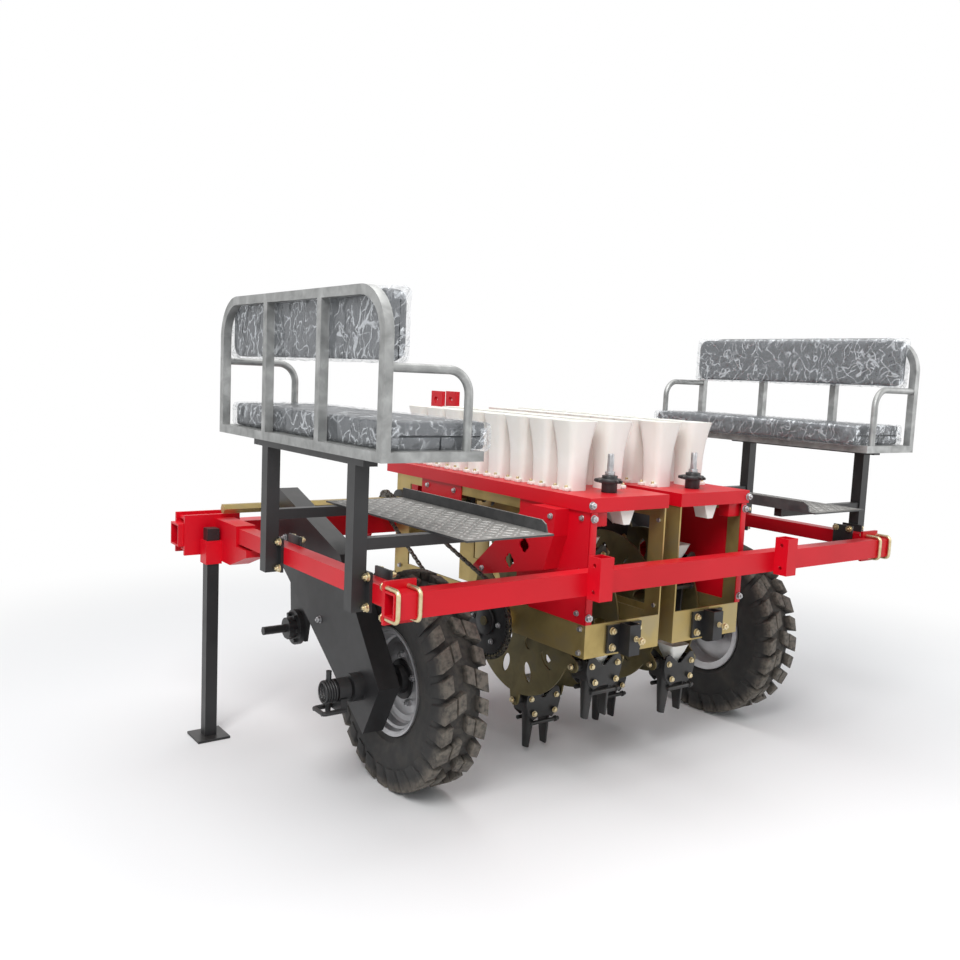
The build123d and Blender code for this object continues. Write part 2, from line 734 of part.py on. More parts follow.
def luggedTyre():
    bead = beadRadius / math.cos(math.pi / tyreFacets)
    wall = [(-flangeIn, bead), (-flangeIn, beadRadius + beadHigh)]
    for inset, share in sideRings:
        wall.append((-halfTyre + inset, beadRadius + share * section))
    cavity = [(-flangeIn + wallThick, bead), (-flangeIn + wallThick, crownRadius - treadThick)]
    outline = wall + [(-x, r) for x, r in reversed(wall)]
    outline = outline + [(-x, r) for x, r in cavity] + list(reversed(cavity))
    carcass = facetRing(outline)
    lugs = []
    for side in (-1, 1):
        for x0, x1, wide, share, chamfer in lugRows:
            top = math.sqrt(tyreRadius**2 - (wide / 2) ** 2)
            points = [(x0, crownRadius - 8), (x0, top), (x1 - chamfer, top), (x1, lugFoot), (x1 - 16, lugFoot)]
            face = make_face(Polyline(*[(side * x, r) for x, r in points], close=True))
            plane = Plane(origin=(0, wide / 2, 0), x_dir=(1, 0, 0), z_dir=(0, -1, 0))
            lug = extrude(plane * face, amount=wide)
            stagger = 0.5 if side > 0 else 0.0
            for k in range(lugCount):
                lugs.append(Rot(360 / lugCount * (k + share + stagger), 0, 0) * lug)
    return carcass.fuse(*lugs)


tyre = Pos(wheelX, wheelY - yMid, tyreRadius) * luggedTyre()
rim = spinX([(r, -o) for r, o in rimProfile], wheelX, wheelY, tyreRadius)
save("tyre_right", tyre)
save("tyre_left", mirror(tyre, about=Plane.YZ))
save("rim_right", rim)
save("rim_left", mirror(rim, about=Plane.YZ))

axleIn = wheelX - 60.0
boss = caseOuter + bossLength
clutchLong = 100.0
clutchEnd = boss + clutchLong
handleDrop = 55.0
handleHalf = 26.0
handleRod = 6.0
teeHalf = 62.0
teeRod = 8.0
clutchSteps = [(6.0, 45.0, 34.0), (45.0, 62.0, 26.0)]


def axlePart():
    axle = rodX(-boss - 70, -axleIn, wheelY, tyreRadius, axleRadius)
    for near, far, radius in clutchSteps:
        axle = axle + rodX(-boss - far, -boss - near, wheelY, tyreRadius, radius)
    axle = axle + rodZ(-boss - 66, wheelY, tyreRadius - teeHalf, tyreRadius + teeHalf, teeRod)
    handleZ = tyreRadius - handleDrop
    for y in (wheelY - handleHalf, wheelY + handleHalf):
        axle = axle + rodX(-clutchEnd, -boss - 25, y, handleZ, handleRod)
    reach = handleHalf + handleRod
    axle = axle + rodY(-clutchEnd + handleRod, wheelY - reach, wheelY + reach, handleZ, handleRod)
    lug = span(-boss - 40, -boss - 20, wheelY - reach, wheelY + reach, handleZ - 7, tyreRadius - 20)
    return axle + lug


axle = axlePart()
save("axle_left", axle)
save("axle_right", mirror(axle, about=Plane.YZ))

# Planting wheels
discRadius = pivotRadius - discInset
holeInset = 77.0
holeLong = 34.0
holeWide = 18.0
innerHole = 22.0
hubTube = 30.0
hubWeb = 43.0
earRoot = 40.0
earSpread = 12.0
holeRing = discRadius - holeInset
innerRing = hubTube + hubWeb + innerHole


def around(radius, degrees):
    a = math.radians(degrees)
    return (radius * math.cos(a), radius * math.sin(a))


def plantingWheel(phase):
    step = 360 / billCount
    disc = Circle(discRadius)
    for k in range(billCount):
        turn = phase - 90 + step * k
        ear = (Pos(*around(pivotRadius, turn)) * Circle(earRadius)).edges()
        root = (Pos(*around(discRadius - earRoot, turn)) * Circle(earRadius + earSpread)).edges()
        disc = disc + make_hull(ear + root)
    for k in range(2 * billCount):
        turn = phase - 90 + step * (k + 0.5) / 2
        disc = disc - Pos(*around(holeRing, turn)) * Rot(0, 0, turn) * Ellipse(holeLong, holeWide)
    for k in range(billCount):
        disc = disc - Pos(*around(innerRing, phase - 90 + step * (k + 0.5))) * Circle(innerHole)
        disc = disc - Pos(*around(pivotRadius, phase - 90 + step * k)) * Circle(billPin + runningGap)
    wheel = rodX(inner - 14, sprocketX + shaftEnd, plantY, plantZ, plantShaft)
    wheel = wheel + rodX(unitX - discX - 20, unitX + discX + 20, plantY, plantZ, hubTube)
    for x in (unitX - discX, unitX + discX):
        start = (x - discSheet / 2, plantY - yMid, plantZ)
        plane = Plane(origin=start, x_dir=(0, 1, 0), z_dir=(1, 0, 0))
        wheel = wheel + extrude(plane * disc, amount=discSheet)
    return wheel


jawSides = 8
jawTopX = 20.0
jawTipX = 32.0
jawTop = 20.0
jawTip = 8.0
jawRoot = 26.0
pinOver = 10.0
bodyWide = 64.0
bodyDeep = 50.0
bodyTall = 44.0
bodyDown = 8.0
throatWide = 48.0
throatRise = 8.0
throatCorner = 8.0
mouthCorner = 14.0
hopperWall = 4.0
hopperFloor = 8.0
hopperLip = 3.0
innerCorner = 1.0


def jawRing(x, z, radius):
    return Plane(origin=(x, 0, z)) * RegularPolygon(radius, jawSides)


def duckbill():
    # drawn about its own pivot, which is the origin here
    reach = discX + pinOver
    plane = Plane(origin=(-reach, 0, 0), x_dir=(0, 1, 0), z_dir=(1, 0, 0))
    bill = extrude(plane * Circle(billPin), amount=2 * reach)
    bill = bill + Pos(0, 0, -bodyDown) * Box(bodyWide, bodyDeep, bodyTall)
    mouth = squareRing(hopperWide, mouthCorner, hopperHigh, 1)
    funnel = loft([squareRing(throatWide, throatCorner, throatRise, 1), mouth], ruled=True)
    wellLow = squareRing(throatWide - 2 * hopperWall, throatCorner - innerCorner, throatRise + hopperFloor, 1)
    wellHigh = squareRing(hopperWide - 2 * hopperLip, mouthCorner - innerCorner, hopperHigh, 1)
    bill = bill + funnel - loft([wellLow, wellHigh], ruled=True)
    for s in (-1, 1):
        jaw = loft([jawRing(s * jawTopX, -jawRoot, jawTop), jawRing(s * jawTipX, -billDrop, jawTip)], ruled=True)
        bill = bill + jaw
    return bill


bill = duckbill()
for label, sign in (("left", -1), ("right", 1)):
    phase = billPhase[label]
    wheel = plantingWheel(phase)
    gear = rodX(sprocketX - sprocketThick / 2, sprocketX + sprocketThick / 2, plantY, plantZ, sprocketRadius)
    gear = gear - rodX(sprocketX - sprocketThick, sprocketX + sprocketThick, plantY, plantZ, plantShaft)
    for k in range(billCount):
        y, z = around(pivotRadius, phase - 90 + 360 * k / billCount)
        spot = Pos(sign * unitX, plantY - yMid + y, plantZ + z)
        save("duckbill_" + label + "_" + str(k + 1), spot * bill)
    if sign < 0:
        wheel = mirror(wheel, about=Plane.YZ)
        gear = mirror(gear, about=Plane.YZ)
    save("planting_wheel_" + label, wheel)
    save("side_sprocket_" + label, gear)

# Parking legs
leg = span(-legX - legSize / 2, -legX + legSize / 2, legY - legSize / 2, legY + legSize / 2,
           padThick, sleeveLow + legAbove)
leg = leg + span(-legX - footPad / 2, -legX + footPad / 2, legY - footPad / 2, legY + footPad / 2, 0, padThick)
save("parking_leg_left", leg)
save("parking_leg_right", mirror(leg, about=Plane.YZ))

lowest = min(box.min.Z for count, box, volume in written.values())
for name in written:
    count, box, volume = written[name]
    corners = (box.min.X, box.max.X, box.min.Y, box.max.Y, box.min.Z, box.max.Z)
    print(name, count, [round(v, 1) for v in corners], round(volume))
print("nodes", len(written), "lowest", round(lowest, 3))
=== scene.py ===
import bpy
import json
from math import acos, atan2, copysign, cos, hypot, pi, radians, sin, sqrt
from mathutils import Matrix, Vector, noise


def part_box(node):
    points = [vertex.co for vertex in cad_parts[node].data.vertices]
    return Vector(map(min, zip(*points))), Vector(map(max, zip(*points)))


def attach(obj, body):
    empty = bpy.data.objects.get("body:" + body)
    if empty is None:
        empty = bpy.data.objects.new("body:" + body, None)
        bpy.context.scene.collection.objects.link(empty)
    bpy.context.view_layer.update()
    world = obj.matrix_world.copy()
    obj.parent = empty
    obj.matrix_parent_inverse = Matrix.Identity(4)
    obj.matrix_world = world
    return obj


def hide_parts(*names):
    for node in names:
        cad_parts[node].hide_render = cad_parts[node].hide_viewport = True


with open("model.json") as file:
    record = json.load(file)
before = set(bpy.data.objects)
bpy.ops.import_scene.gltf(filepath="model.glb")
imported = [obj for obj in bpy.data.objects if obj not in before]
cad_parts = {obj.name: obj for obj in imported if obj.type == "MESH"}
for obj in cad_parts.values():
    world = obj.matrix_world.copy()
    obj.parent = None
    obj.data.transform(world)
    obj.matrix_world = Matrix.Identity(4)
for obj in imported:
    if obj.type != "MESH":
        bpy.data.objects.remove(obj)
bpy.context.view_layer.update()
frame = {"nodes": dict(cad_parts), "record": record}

nodes = frame["nodes"]
yMid = 695.0  # mm from the rear beam's rear face to the middle of the row
sides = (("left", -1), ("right", 1))
moved = Matrix.Translation
noise.seed_set(4)  # the film creases alike each run


def at(x, y, z):
    # millimetres counted from the rear beam, to metres in the row frame
    return Vector((x / 1000, (y - yMid) / 1000, z / 1000))


# Small helpers for working by hand in object and edit mode
def objectMode():
    if bpy.context.object and bpy.context.object.mode != "OBJECT":
        bpy.ops.object.mode_set(mode="OBJECT")
    bpy.ops.object.select_all(action="DESELECT")


def pick(obj):
    objectMode()
    obj.select_set(True)
    bpy.context.view_layer.objects.active = obj
    return obj


def settle(obj=None):
    obj = pick(obj or bpy.context.object)
    bpy.ops.object.transform_apply(location=True, rotation=True, scale=True)
    return obj


def useModifier(obj, kind, **settings):
    pick(obj)
    modifier = obj.modifiers.new(kind, kind)
    for key, value in settings.items():
        setattr(modifier, key, value)
    bpy.ops.object.modifier_apply(modifier=modifier.name)
    return obj


def copyAt(obj, turn):
    twin = obj.copy()
    twin.data = obj.data.copy()
    twin.data.transform(turn)
    bpy.context.collection.objects.link(twin)
    return twin


def joinAll(parts):
    objectMode()
    for part in parts:
        part.select_set(True)
    bpy.context.view_layer.objects.active = parts[0]
    if len(parts) > 1:
        bpy.ops.object.join()
    return parts[0]


def discard(obj):
    bpy.data.objects.remove(obj)


def editAll(obj):
    pick(obj)
    bpy.ops.object.mode_set(mode="EDIT")
    bpy.ops.mesh.select_all(action="SELECT")
    return obj


def choose(obj, kind, test):
    # leaves the faces or points that pass the test selected in edit mode
    editAll(obj)
    bpy.ops.mesh.select_mode(type=kind)
    bpy.ops.mesh.select_all(action="DESELECT")
    bpy.ops.object.mode_set(mode="OBJECT")
    for item in obj.data.polygons if kind == "FACE" else obj.data.vertices:
        item.select = test(item)
    bpy.ops.object.mode_set(mode="EDIT")


def drawOut(move):
    bpy.ops.mesh.extrude_region_move(TRANSFORM_OT_translate={"value": move})


def outward(obj, merge=0.00002):
    editAll(obj)
    bpy.ops.mesh.remove_doubles(threshold=merge)
    bpy.ops.mesh.normals_make_consistent(inside=False)
    bpy.ops.object.mode_set(mode="OBJECT")
    return obj


def handOver(obj, name, body, slotName, standsFor=(), smooth=32, look=None):
    pick(obj)
    bpy.ops.object.shade_smooth_by_angle(angle=radians(smooth))
    obj.name = name
    obj.data.name = name
    obj.data.materials.clear()
    obj.data.materials.append(finishes[look or slotName])
    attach(obj, body)
    if standsFor:
        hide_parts(*standsFor)
    return obj


# Shader nodes: an input is set, or joined where another node's output is given
def setInputs(tree, node, inputs):
    for key, value in inputs.items():
        if isinstance(value, bpy.types.NodeSocket):
            tree.links.new(value, node.inputs[key])
        else:
            node.inputs[key].default_value = value
    return node


def addNode(tree, kind, inputs, **settings):
    node = tree.nodes.new("ShaderNode" + kind)
    for key, value in settings.items():
        setattr(node, key, value)
    return setInputs(tree, node, inputs)


def reckon(tree, operation, first, second):
    return addNode(tree, "Math", {0: first, 1: second}, operation=operation).outputs["Value"]


def rescale(tree, source, low, high, first=0, last=1, easing="LINEAR"):
    inputs = {"Value": source, "From Min": low, "From Max": high, "To Min": first, "To Max": last}
    return addNode(tree, "MapRange", inputs, interpolation_type=easing).outputs["Result"]


def grain(tree, place, scale, detail, twist=0):
    inputs = {"Vector": place, "Scale": scale, "Detail": detail, "Distortion": twist}
    return addNode(tree, "TexNoise", inputs).outputs["Fac"]


def newMaterial(name):
    material = bpy.data.materials.new(name)
    material.use_nodes = True
    tree = material.node_tree
    place = addNode(tree, "TexCoord", {}).outputs["Object"]
    return material, tree, tree.nodes["Principled BSDF"], place


# Finishes: each one mixes two or three tones by noise, and has its own gloss and grain
finishGrain = {"tone": (6, 0.4), "dust": (8, 0.2), "grit": 8, "gloss": (5, 0.3), "bump": 3}


def makeFinish(name, tones, toneScale, gloss, bump, cells=False, metal=0, dust=None, sockets=None, crown=None):
    material, tree, shader, place = newMaterial(name)
    ramp = addNode(tree, "ValToRGB", {"Fac": grain(tree, place, toneScale, *finishGrain["tone"])})
    steps = ramp.color_ramp.elements
    while len(steps) < len(tones):
        steps.new(0.5)
    for step, (spot, tone) in zip(steps, tones):
        step.position = spot
        step.color = (*tone, 1)
    colour = ramp.outputs["Color"]
    layers = []
    if dust:  # lies on what faces up
        normal = addNode(tree, "NewGeometry", {}).outputs["Normal"]
        tilt = addNode(tree, "SeparateXYZ", {"Vector": normal}).outputs["Z"]
        first, most, scale, tone = dust
        patch = grain(tree, place, scale, *finishGrain["dust"])
        layers.append((rescale(tree, tilt, first, 1, 0, most), patch, tone))
    if crown:  # worn and dusty beyond a radius about the axle
        flat = {"Vector": place, "Location": -crown["centre"], "Scale": (0, 1, 1)}
        centred = addNode(tree, "Mapping", flat).outputs["Vector"]
        radius = addNode(tree, "VectorMath", {0: centred}, operation="LENGTH").outputs["Value"]
        grit = rescale(tree, grain(tree, place, crown["scale"], finishGrain["grit"]), *crown["grit"])
        layers.append((rescale(tree, radius, crown["from"], crown["to"]), grit, crown["tone"]))
    for amount, patch, tone in layers:
        inputs = {"Factor": reckon(tree, "MULTIPLY", amount, patch), "A": colour, "B": (*tone, 1)}
        colour = addNode(tree, "Mix", inputs, data_type="RGBA").outputs["Result"]
    scale, strength, deep = bump
    if cells:
        height = addNode(tree, "TexVoronoi", {"Vector": place, "Scale": scale}).outputs["Distance"]
    else:
        height = grain(tree, place, scale, finishGrain["bump"])
    relief = addNode(tree, "Bump", {"Strength": strength, "Distance": deep, "Height": height})
    scale, low, high = gloss
    smear = grain(tree, place, scale, *finishGrain["gloss"])
    setInputs(tree, shader, {
        "Base Color": colour, "Roughness": rescale(tree, smear, 0, 1, low, high),
        "Normal": relief.outputs["Normal"], "Metallic": metal, **(sockets or {})})
    return material


soil = (0.16, 0.12, 0.09)
# gloss: scale, low and high; bump: scale, strength and depth; dust: where it starts, its most, scale and tone
finishSpecs = {
    "red_paint": {
        "tones": [(0.3, (0.52, 0.0015, 0.009)), (0.7, (0.62, 0.002, 0.013))],
        "toneScale": 3, "gloss": (9, 0.3, 0.46), "bump": (420, 0.1, 0.0004),
        "dust": (0.6, 0.06, 26, (0.5, 0.22, 0.2)),
        "sockets": {"Specular IOR Level": 0.32}},
    "black_paint": {
        "tones": [(0.3, (0.01, 0.01, 0.011)), (0.7, (0.019, 0.019, 0.02))],
        "toneScale": 8, "gloss": (16, 0.32, 0.52), "bump": (520, 0.14, 0.0004),
        "dust": (0.2, 0.22, 34, (0.12, 0.105, 0.09))},
    "galvanised": {
        "tones": [(0.25, (0.21, 0.215, 0.21)), (0.5, (0.31, 0.315, 0.31)), (0.75, (0.44, 0.445, 0.44))],
        "toneScale": 22, "gloss": (40, 0.34, 0.56), "bump": (260, 0.12, 0.0004), "metal": 0.7,
        "dust": (0.2, 0.25, 18, (0.3, 0.29, 0.26))},
    "zinc_yellow": {
        "tones": [(0.25, (0.27, 0.2, 0.07)), (0.5, (0.45, 0.34, 0.13)), (0.72, (0.38, 0.31, 0.17))],
        "toneScale": 7, "gloss": (18, 0.3, 0.5), "bump": (340, 0.08, 0.0003), "metal": 0.75,
        "dust": (0.3, 0.35, 30, soil)},
    # a darker copy of zinc_yellow for the planting wheels: painted shade for the inside of the unit, with soil dust
    # reaching further round
    "disc_zinc_shade_and_soil": {
        "tones": [(0.25, (0.1, 0.085, 0.035)), (0.5, (0.17, 0.14, 0.06)), (0.75, (0.13, 0.12, 0.08))],
        "toneScale": 11, "gloss": (22, 0.38, 0.6), "bump": (340, 0.1, 0.0003), "metal": 0.6,
        "dust": (-0.2, 0.35, 24, soil)},
    "bolt_zinc": {
        "tones": [(0.3, (0.58, 0.46, 0.24)), (0.7, (0.72, 0.63, 0.42))],
        "toneScale": 60, "gloss": (60, 0.22, 0.4), "bump": (600, 0.08, 0.0003), "metal": 0.85},
    "bolt_steel": {
        "tones": [(0.3, (0.34, 0.34, 0.35)), (0.7, (0.52, 0.52, 0.53))],
        "toneScale": 60, "gloss": (60, 0.24, 0.42), "bump": (600, 0.08, 0.0003), "metal": 0.9},
    "chequer_marks": {
        "tones": [(0.3, (0.3, 0.295, 0.285)), (0.7, (0.46, 0.45, 0.43))],
        "toneScale": 40, "gloss": (50, 0.34, 0.55), "bump": (500, 0.08, 0.0003), "metal": 0.4},
    "chequer_plate": {
        "tones": [(0.3, (0.035, 0.036, 0.038)), (0.7, (0.07, 0.07, 0.07))],
        "toneScale": 24, "gloss": (30, 0.4, 0.62), "bump": (300, 0.15, 0.0005), "metal": 0.2,
        "dust": (0.5, 0.95, 90, (0.34, 0.325, 0.3))},
    "cushion": {
        "tones": [(0.3, (0.022, 0.025, 0.029)), (0.7, (0.036, 0.039, 0.044))],
        "toneScale": 14, "gloss": (24, 0.4, 0.58), "bump": (480, 0.35, 0.0005), "cells": True},
    "white_plastic": {
        "tones": [(0.3, (0.8, 0.8, 0.74)), (0.7, (0.88, 0.88, 0.84))],
        "toneScale": 7, "gloss": (14, 0.3, 0.46), "bump": (240, 0.05, 0.0004),
        "sockets": {"Subsurface Weight": 0.25, "Subsurface Radius": (0.012, 0.011, 0.01)}},
    "chain_steel": {
        "tones": [(0.3, (0.055, 0.052, 0.048)), (0.7, (0.17, 0.155, 0.13))],
        "toneScale": 70, "gloss": (50, 0.28, 0.5), "bump": (500, 0.1, 0.0003), "metal": 0.9},
    "tyre": {
        "tones": [(0.3, (0.012, 0.012, 0.012)), (0.55, (0.021, 0.02, 0.019)), (0.8, (0.045, 0.04, 0.034))],
        "toneScale": 16, "gloss": (30, 0.58, 0.85), "bump": (380, 0.3, 0.0008),
        "crown": {"centre": at(0, 495, 330), "from": 0.296, "to": 0.3262, "scale": 70, "grit": (0.25, 0.6),
                  "tone": (0.135, 0.118, 0.096)}},
    "rim_silver": {
        "tones": [(0.3, (0.42, 0.42, 0.43)), (0.7, (0.55, 0.55, 0.56))],
        "toneScale": 12, "gloss": (20, 0.3, 0.46), "bump": (420, 0.08, 0.0003), "metal": 0.6},
    "bill_black": {
        "tones": [(0.3, (0.012, 0.012, 0.012)), (0.7, (0.024, 0.023, 0.022))],
        "toneScale": 22, "gloss": (36, 0.3, 0.52), "bump": (460, 0.14, 0.0004)},
}
finishes = {name: makeFinish(name, **spec) for name, spec in finishSpecs.items()}
slotOf = {part["node"]: part["material_slot"] for part in frame["record"]["subparts"]}
for nodeName, node in nodes.items():
    node.data.materials.clear()
    node.data.materials.append(finishes[slotOf[nodeName]])
# the planting wheels take the darker zinc copy: painted shade, with soil
for label, side in sides:
    nodes["planting_wheel_" + label].data.materials[0] = finishes["disc_zinc_shade_and_soil"]
print("finishes set on", len(nodes), "CAD nodes")


# Tyres: a spun carcass with split lugs, long and short in turn
tyreSpec = {
    "radius": 330, "wheelY": 495, "lugCount": 14, "foot": 262, "steps": 112, "rimSteps": 96,
    "outline": [(-41, 153), (-55, 153), (-57, 168), (-63, 175), (-66, 181), (-70, 184), (-74, 200), (-77.5, 222),
                (-79, 246), (-78, 266), (-74, 284), (-64, 296), (-46, 303), (-24, 306.5), (0, 307)],
    "blocks": [
        {"from": 3, "to": 31, "wide": 58, "slope": 0, "share": 0},
        {"from": 34, "to": 82.3, "wide": 63, "slope": 6, "share": 0},
        {"from": 42, "to": 82, "wide": 55, "slope": 7, "share": 0.5},
    ],
    "crownTaper": (0.96, 0.88, 1), "footTaper": (1, 0.66, 1), "lugEdge": 0.0028, "drop": 0.001,
    "chevron": 0.5, "chevronX": 0.06,
    "rim": [(65, 160), (60, 152), (50, 148), (44, 146), (40, 139), (18, 135), (12, 128), (9, 112), (13, 104), (15, 70),
            (13, 40), (5, 40), (7, 70), (5, 104), (2, 112), (4, 131), (-12, 139), (-58, 141), (-61, 152), (-65, 160),
            (-65, 166), (-58, 166), (-56, 153), (0, 150), (56, 153), (58, 166), (65, 166), (65, 160)],
    "hub": [(-0.046, 0.04, 0.044), (-0.046, 0.02, 0.062)], "hubSides": 40, "hubEdge": 0.003,
}
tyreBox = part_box("tyre_left")
wheelX = -500 * (tyreBox[0][0] + tyreBox[1][0])  # mm from the machine's middle to the tyre's


def drawLine(points):
    # a line drawn point by point, in millimetres, and left selected in edit mode
    objectMode()
    bpy.ops.mesh.primitive_plane_add(size=0.01)
    obj = bpy.context.object
    bpy.ops.object.mode_set(mode="EDIT")
    bpy.ops.mesh.select_mode(type="VERT")
    bpy.ops.mesh.select_all(action="SELECT")
    bpy.ops.mesh.merge(type="CENTER")
    here = Vector(points[0]) / 1000
    bpy.ops.transform.translate(value=here)
    for point in points[1:]:
        there = Vector(point) / 1000
        drawOut(there - here)
        here = there
    bpy.ops.mesh.select_all(action="SELECT")
    return obj


def spinProfile(outline, steps):
    # an outline of places along X and radii, spun about the X axis
    obj = drawLine([(x, 0, r) for x, r in outline])
    bpy.ops.mesh.spin(steps=steps, angle=2 * pi, center=(0, 0, 0), axis=(1, 0, 0))
    objectMode()
    return outward(obj)


def flatPlate(points, thick):
    # an outline, closed and pulled to its thickness
    obj = drawLine(points)
    bpy.ops.mesh.edge_face_add()
    bpy.ops.mesh.select_all(action="SELECT")
    drawOut(Vector(thick) / 1000)
    objectMode()
    return outward(obj)


def facing(direction):
    return Vector(direction).to_track_quat("Z", "Y").to_matrix().to_4x4()


def soften(obj, width, rows=2, **settings):
    return useModifier(obj, "BEVEL", width=width, segments=rows, limit_method="ANGLE", **settings)


def roundBar(start, end, radius, sidesCount=16, edge=0.0015):
    # a bevelled cylinder between two points, in metres
    objectMode()
    start, end = Vector(start), Vector(end)
    along = end - start
    bpy.ops.mesh.primitive_cylinder_add(vertices=sidesCount, radius=radius, depth=along.length)
    obj = soften(bpy.context.object, edge)
    obj.data.transform(moved((start + end) / 2) @ facing(along))
    return obj


def plainBox(low, high):
    # a cube brought to two corners, in metres
    objectMode()
    low, high = Vector(low), Vector(high)
    bpy.ops.mesh.primitive_cube_add(size=1, location=(low + high) / 2)
    obj = bpy.context.object
    obj.scale = high - low
    return settle(obj)


def softBox(low, high, edge):
    return soften(plainBox(low, high), edge)


def lugBlock(spec):
    foot, crown = tyreSpec["foot"] / 1000, tyreSpec["radius"] / 1000
    start, end, half = spec["from"] / 1000, spec["to"] / 1000, spec["wide"] / 2000
    obj = plainBox((start, -half, foot), (end, half, crown))
    for way, taper in ((1, tyreSpec["crownTaper"]), (-1, tyreSpec["footTaper"])):
        choose(obj, "FACE", lambda face: face.normal.z * way > 0.9)
        bpy.ops.transform.resize(value=taper)
        objectMode()
    if spec["slope"]:
        choose(obj, "VERT", lambda point: point.co.z > crown - 0.001 and point.co.x > end - 0.01)
        bpy.ops.transform.translate(value=(-spec["slope"] / 1000, 0, -tyreSpec["drop"]))
        objectMode()
    soften(obj, tyreSpec["lugEdge"])
    # the bars run on round the tyre towards its middle
    lead = tyreSpec["chevron"]
    slant = Matrix.Identity(4)
    slant[1][0], slant[1][3] = -lead, lead * tyreSpec["chevronX"]
    obj.data.transform(slant)
    for point in obj.data.vertices:  # bent to the tyre's round
        point.co.z = sqrt(point.co.z**2 - point.co.y**2)
    return obj


def wheelPlace(side):
    middle = at(side * wheelX, tyreSpec["wheelY"], tyreSpec["radius"])
    return moved(middle) @ Matrix.Diagonal((side, 1, 1, 1))


def makeTyres():
    half = tyreSpec["outline"]
    outline = half + [(-x, r) for x, r in reversed(half[:-1])]
    parts = [spinProfile(outline, tyreSpec["steps"])]
    step = 2 * pi / tyreSpec["lugCount"]
    for spec in tyreSpec["blocks"]:
        block = lugBlock(spec)
        for side, stagger in ((-1, 0), (1, 0.5)):
            flip = Matrix.Diagonal((side, 1, 1, 1))
            for k in range(tyreSpec["lugCount"]):
                turn = Matrix.Rotation(step * (k + spec["share"] + stagger), 4, "X")
                parts.append(copyAt(block, turn @ flip))
        discard(block)
    tyre = outward(joinAll(parts))
    for label, side in sides:
        twin = outward(copyAt(tyre, wheelPlace(side)))
        handOver(twin, "tread_" + label, "wheel_" + label, "tyre", ["tyre_" + label], 30)
    discard(tyre)
    dish = spinProfile(tyreSpec["rim"], tyreSpec["rimSteps"])
    for label, side in sides:
        place = wheelPlace(side)
        twin = outward(copyAt(dish, place))
        handOver(twin, "rim_dish_" + label, "wheel_" + label, "rim_silver", ["rim_" + label], 28)
        bars = []
        for inner, outer, radius in tyreSpec["hub"]:
            ends = (place @ Vector((x, 0, 0)) for x in (inner, outer))
            bars.append(roundBar(*ends, radius, tyreSpec["hubSides"], tyreSpec["hubEdge"]))
        handOver(joinAll(bars), "wheel_hub_" + label, "wheel_" + label, "black_paint", ["rim_" + label])
    discard(dish)
    print("tyres and rims made")


makeTyres()


# Bolts: a hex head or nut on its washer, modelled once, pointing along +Z
boltSpec = {"big": (24, 10, 16, 7), "middle": (18, 8, 12, 5), "small": (13, 6, 9, 0)}
boltCut = {"washer": 0.0024, "edge": 0.0005, "chamfer": 0.12, "dome": 0.06, "shoulder": 0.34, "tip": 0.0007}


def hexBolt(flats, head, washer, stub=0):
    flats, head, washer, stub = (size / 1000 for size in (flats, head, washer, stub))
    thick = boltCut["washer"]
    objectMode()
    bpy.ops.mesh.primitive_cylinder_add(vertices=20, radius=washer, depth=thick, location=(0, 0, thick / 2))
    disc = soften(settle(), boltCut["edge"], 1)
    corner = flats / sqrt(3)
    bpy.ops.mesh.primitive_cylinder_add(vertices=6, radius=corner, depth=head, location=(0, 0, thick + head / 2))
    nut = settle()
    choose(nut, "FACE", lambda face: face.normal.z > 0.9)
    bpy.ops.mesh.inset(thickness=corner * boltCut["chamfer"], depth=head * boltCut["dome"])
    if stub:
        bpy.ops.mesh.inset(thickness=corner * boltCut["shoulder"])
        drawOut((0, 0, stub))
        bpy.ops.mesh.inset(thickness=boltCut["tip"], depth=boltCut["edge"])
    objectMode()
    return joinAll([disc, soften(nut, boltCut["edge"], 1)])


def boltRing(centre, out, radius, count, phase=0):
    turns = [radians(360 / count * k + phase) for k in range(count)]
    return [(centre + radius * Vector((0, cos(t), sin(t))), out) for t in turns]


def setBolts(bolt, places):
    return [copyAt(bolt, moved(place) @ facing(direction)) for place, direction in places]


# Rows of bolts: the kind, the way it points, and its places on the right-hand side in millimetres
boltRows = {
    "gold": [
        ("middle", "front", [(x, 60, z) for x in (1050, 988) for z in (659, 737)]),
        ("middle", "in", [(995, y + dy, z) for y in (155, 682) for dy in (-28, 28) for z in (672, 750)]),
        ("middle", "out", [(1061, y + dy, z) for y in (155, 682) for dy in (-30, 30) for z in (672, 750)]),
        ("middle", "back", [(187 + dx, 91, 494 + dz) for dx in (-52, 52) for dz in (-25, 25)]),
    ],
    "plain": [
        ("big", "front", [(x, 1275, z) for x in (1147, 991) for z in (638, 741)]),
        ("middle", "out", [(870, y, z) for y, z in ((1030, 690), (760, 470), (1150, 720), (560, 560))]),
        ("small", "out", [(342, y, z) for y, z in ((121, 530), (121, 458), (640, 530), (1150, 530), (1150, 458))]),
        ("middle", "back", [(337, 95, 862), (337, 95, 700), (337, 95, 568), (348, 93, 902)]),
        ("small", "out", [(35, 120, z) for z in (840, 640, 570)]),
        ("small", "out", [(346, y, z) for y, z in ((135, 860), (135, 700), (135, 575), (800, 860), (970, 860))]),
        ("small", "out", [(402, 210, 858), (402, 540, 640)]),
        ("middle", "front", [(x, 1277, z) for x in (394, 460) for z in (670, 708)]),
    ],
}
setScrew = {"unitX": 0.187, "aside": 0.004, "z": 0.498, "long": 0.021, "radius": 0.005}


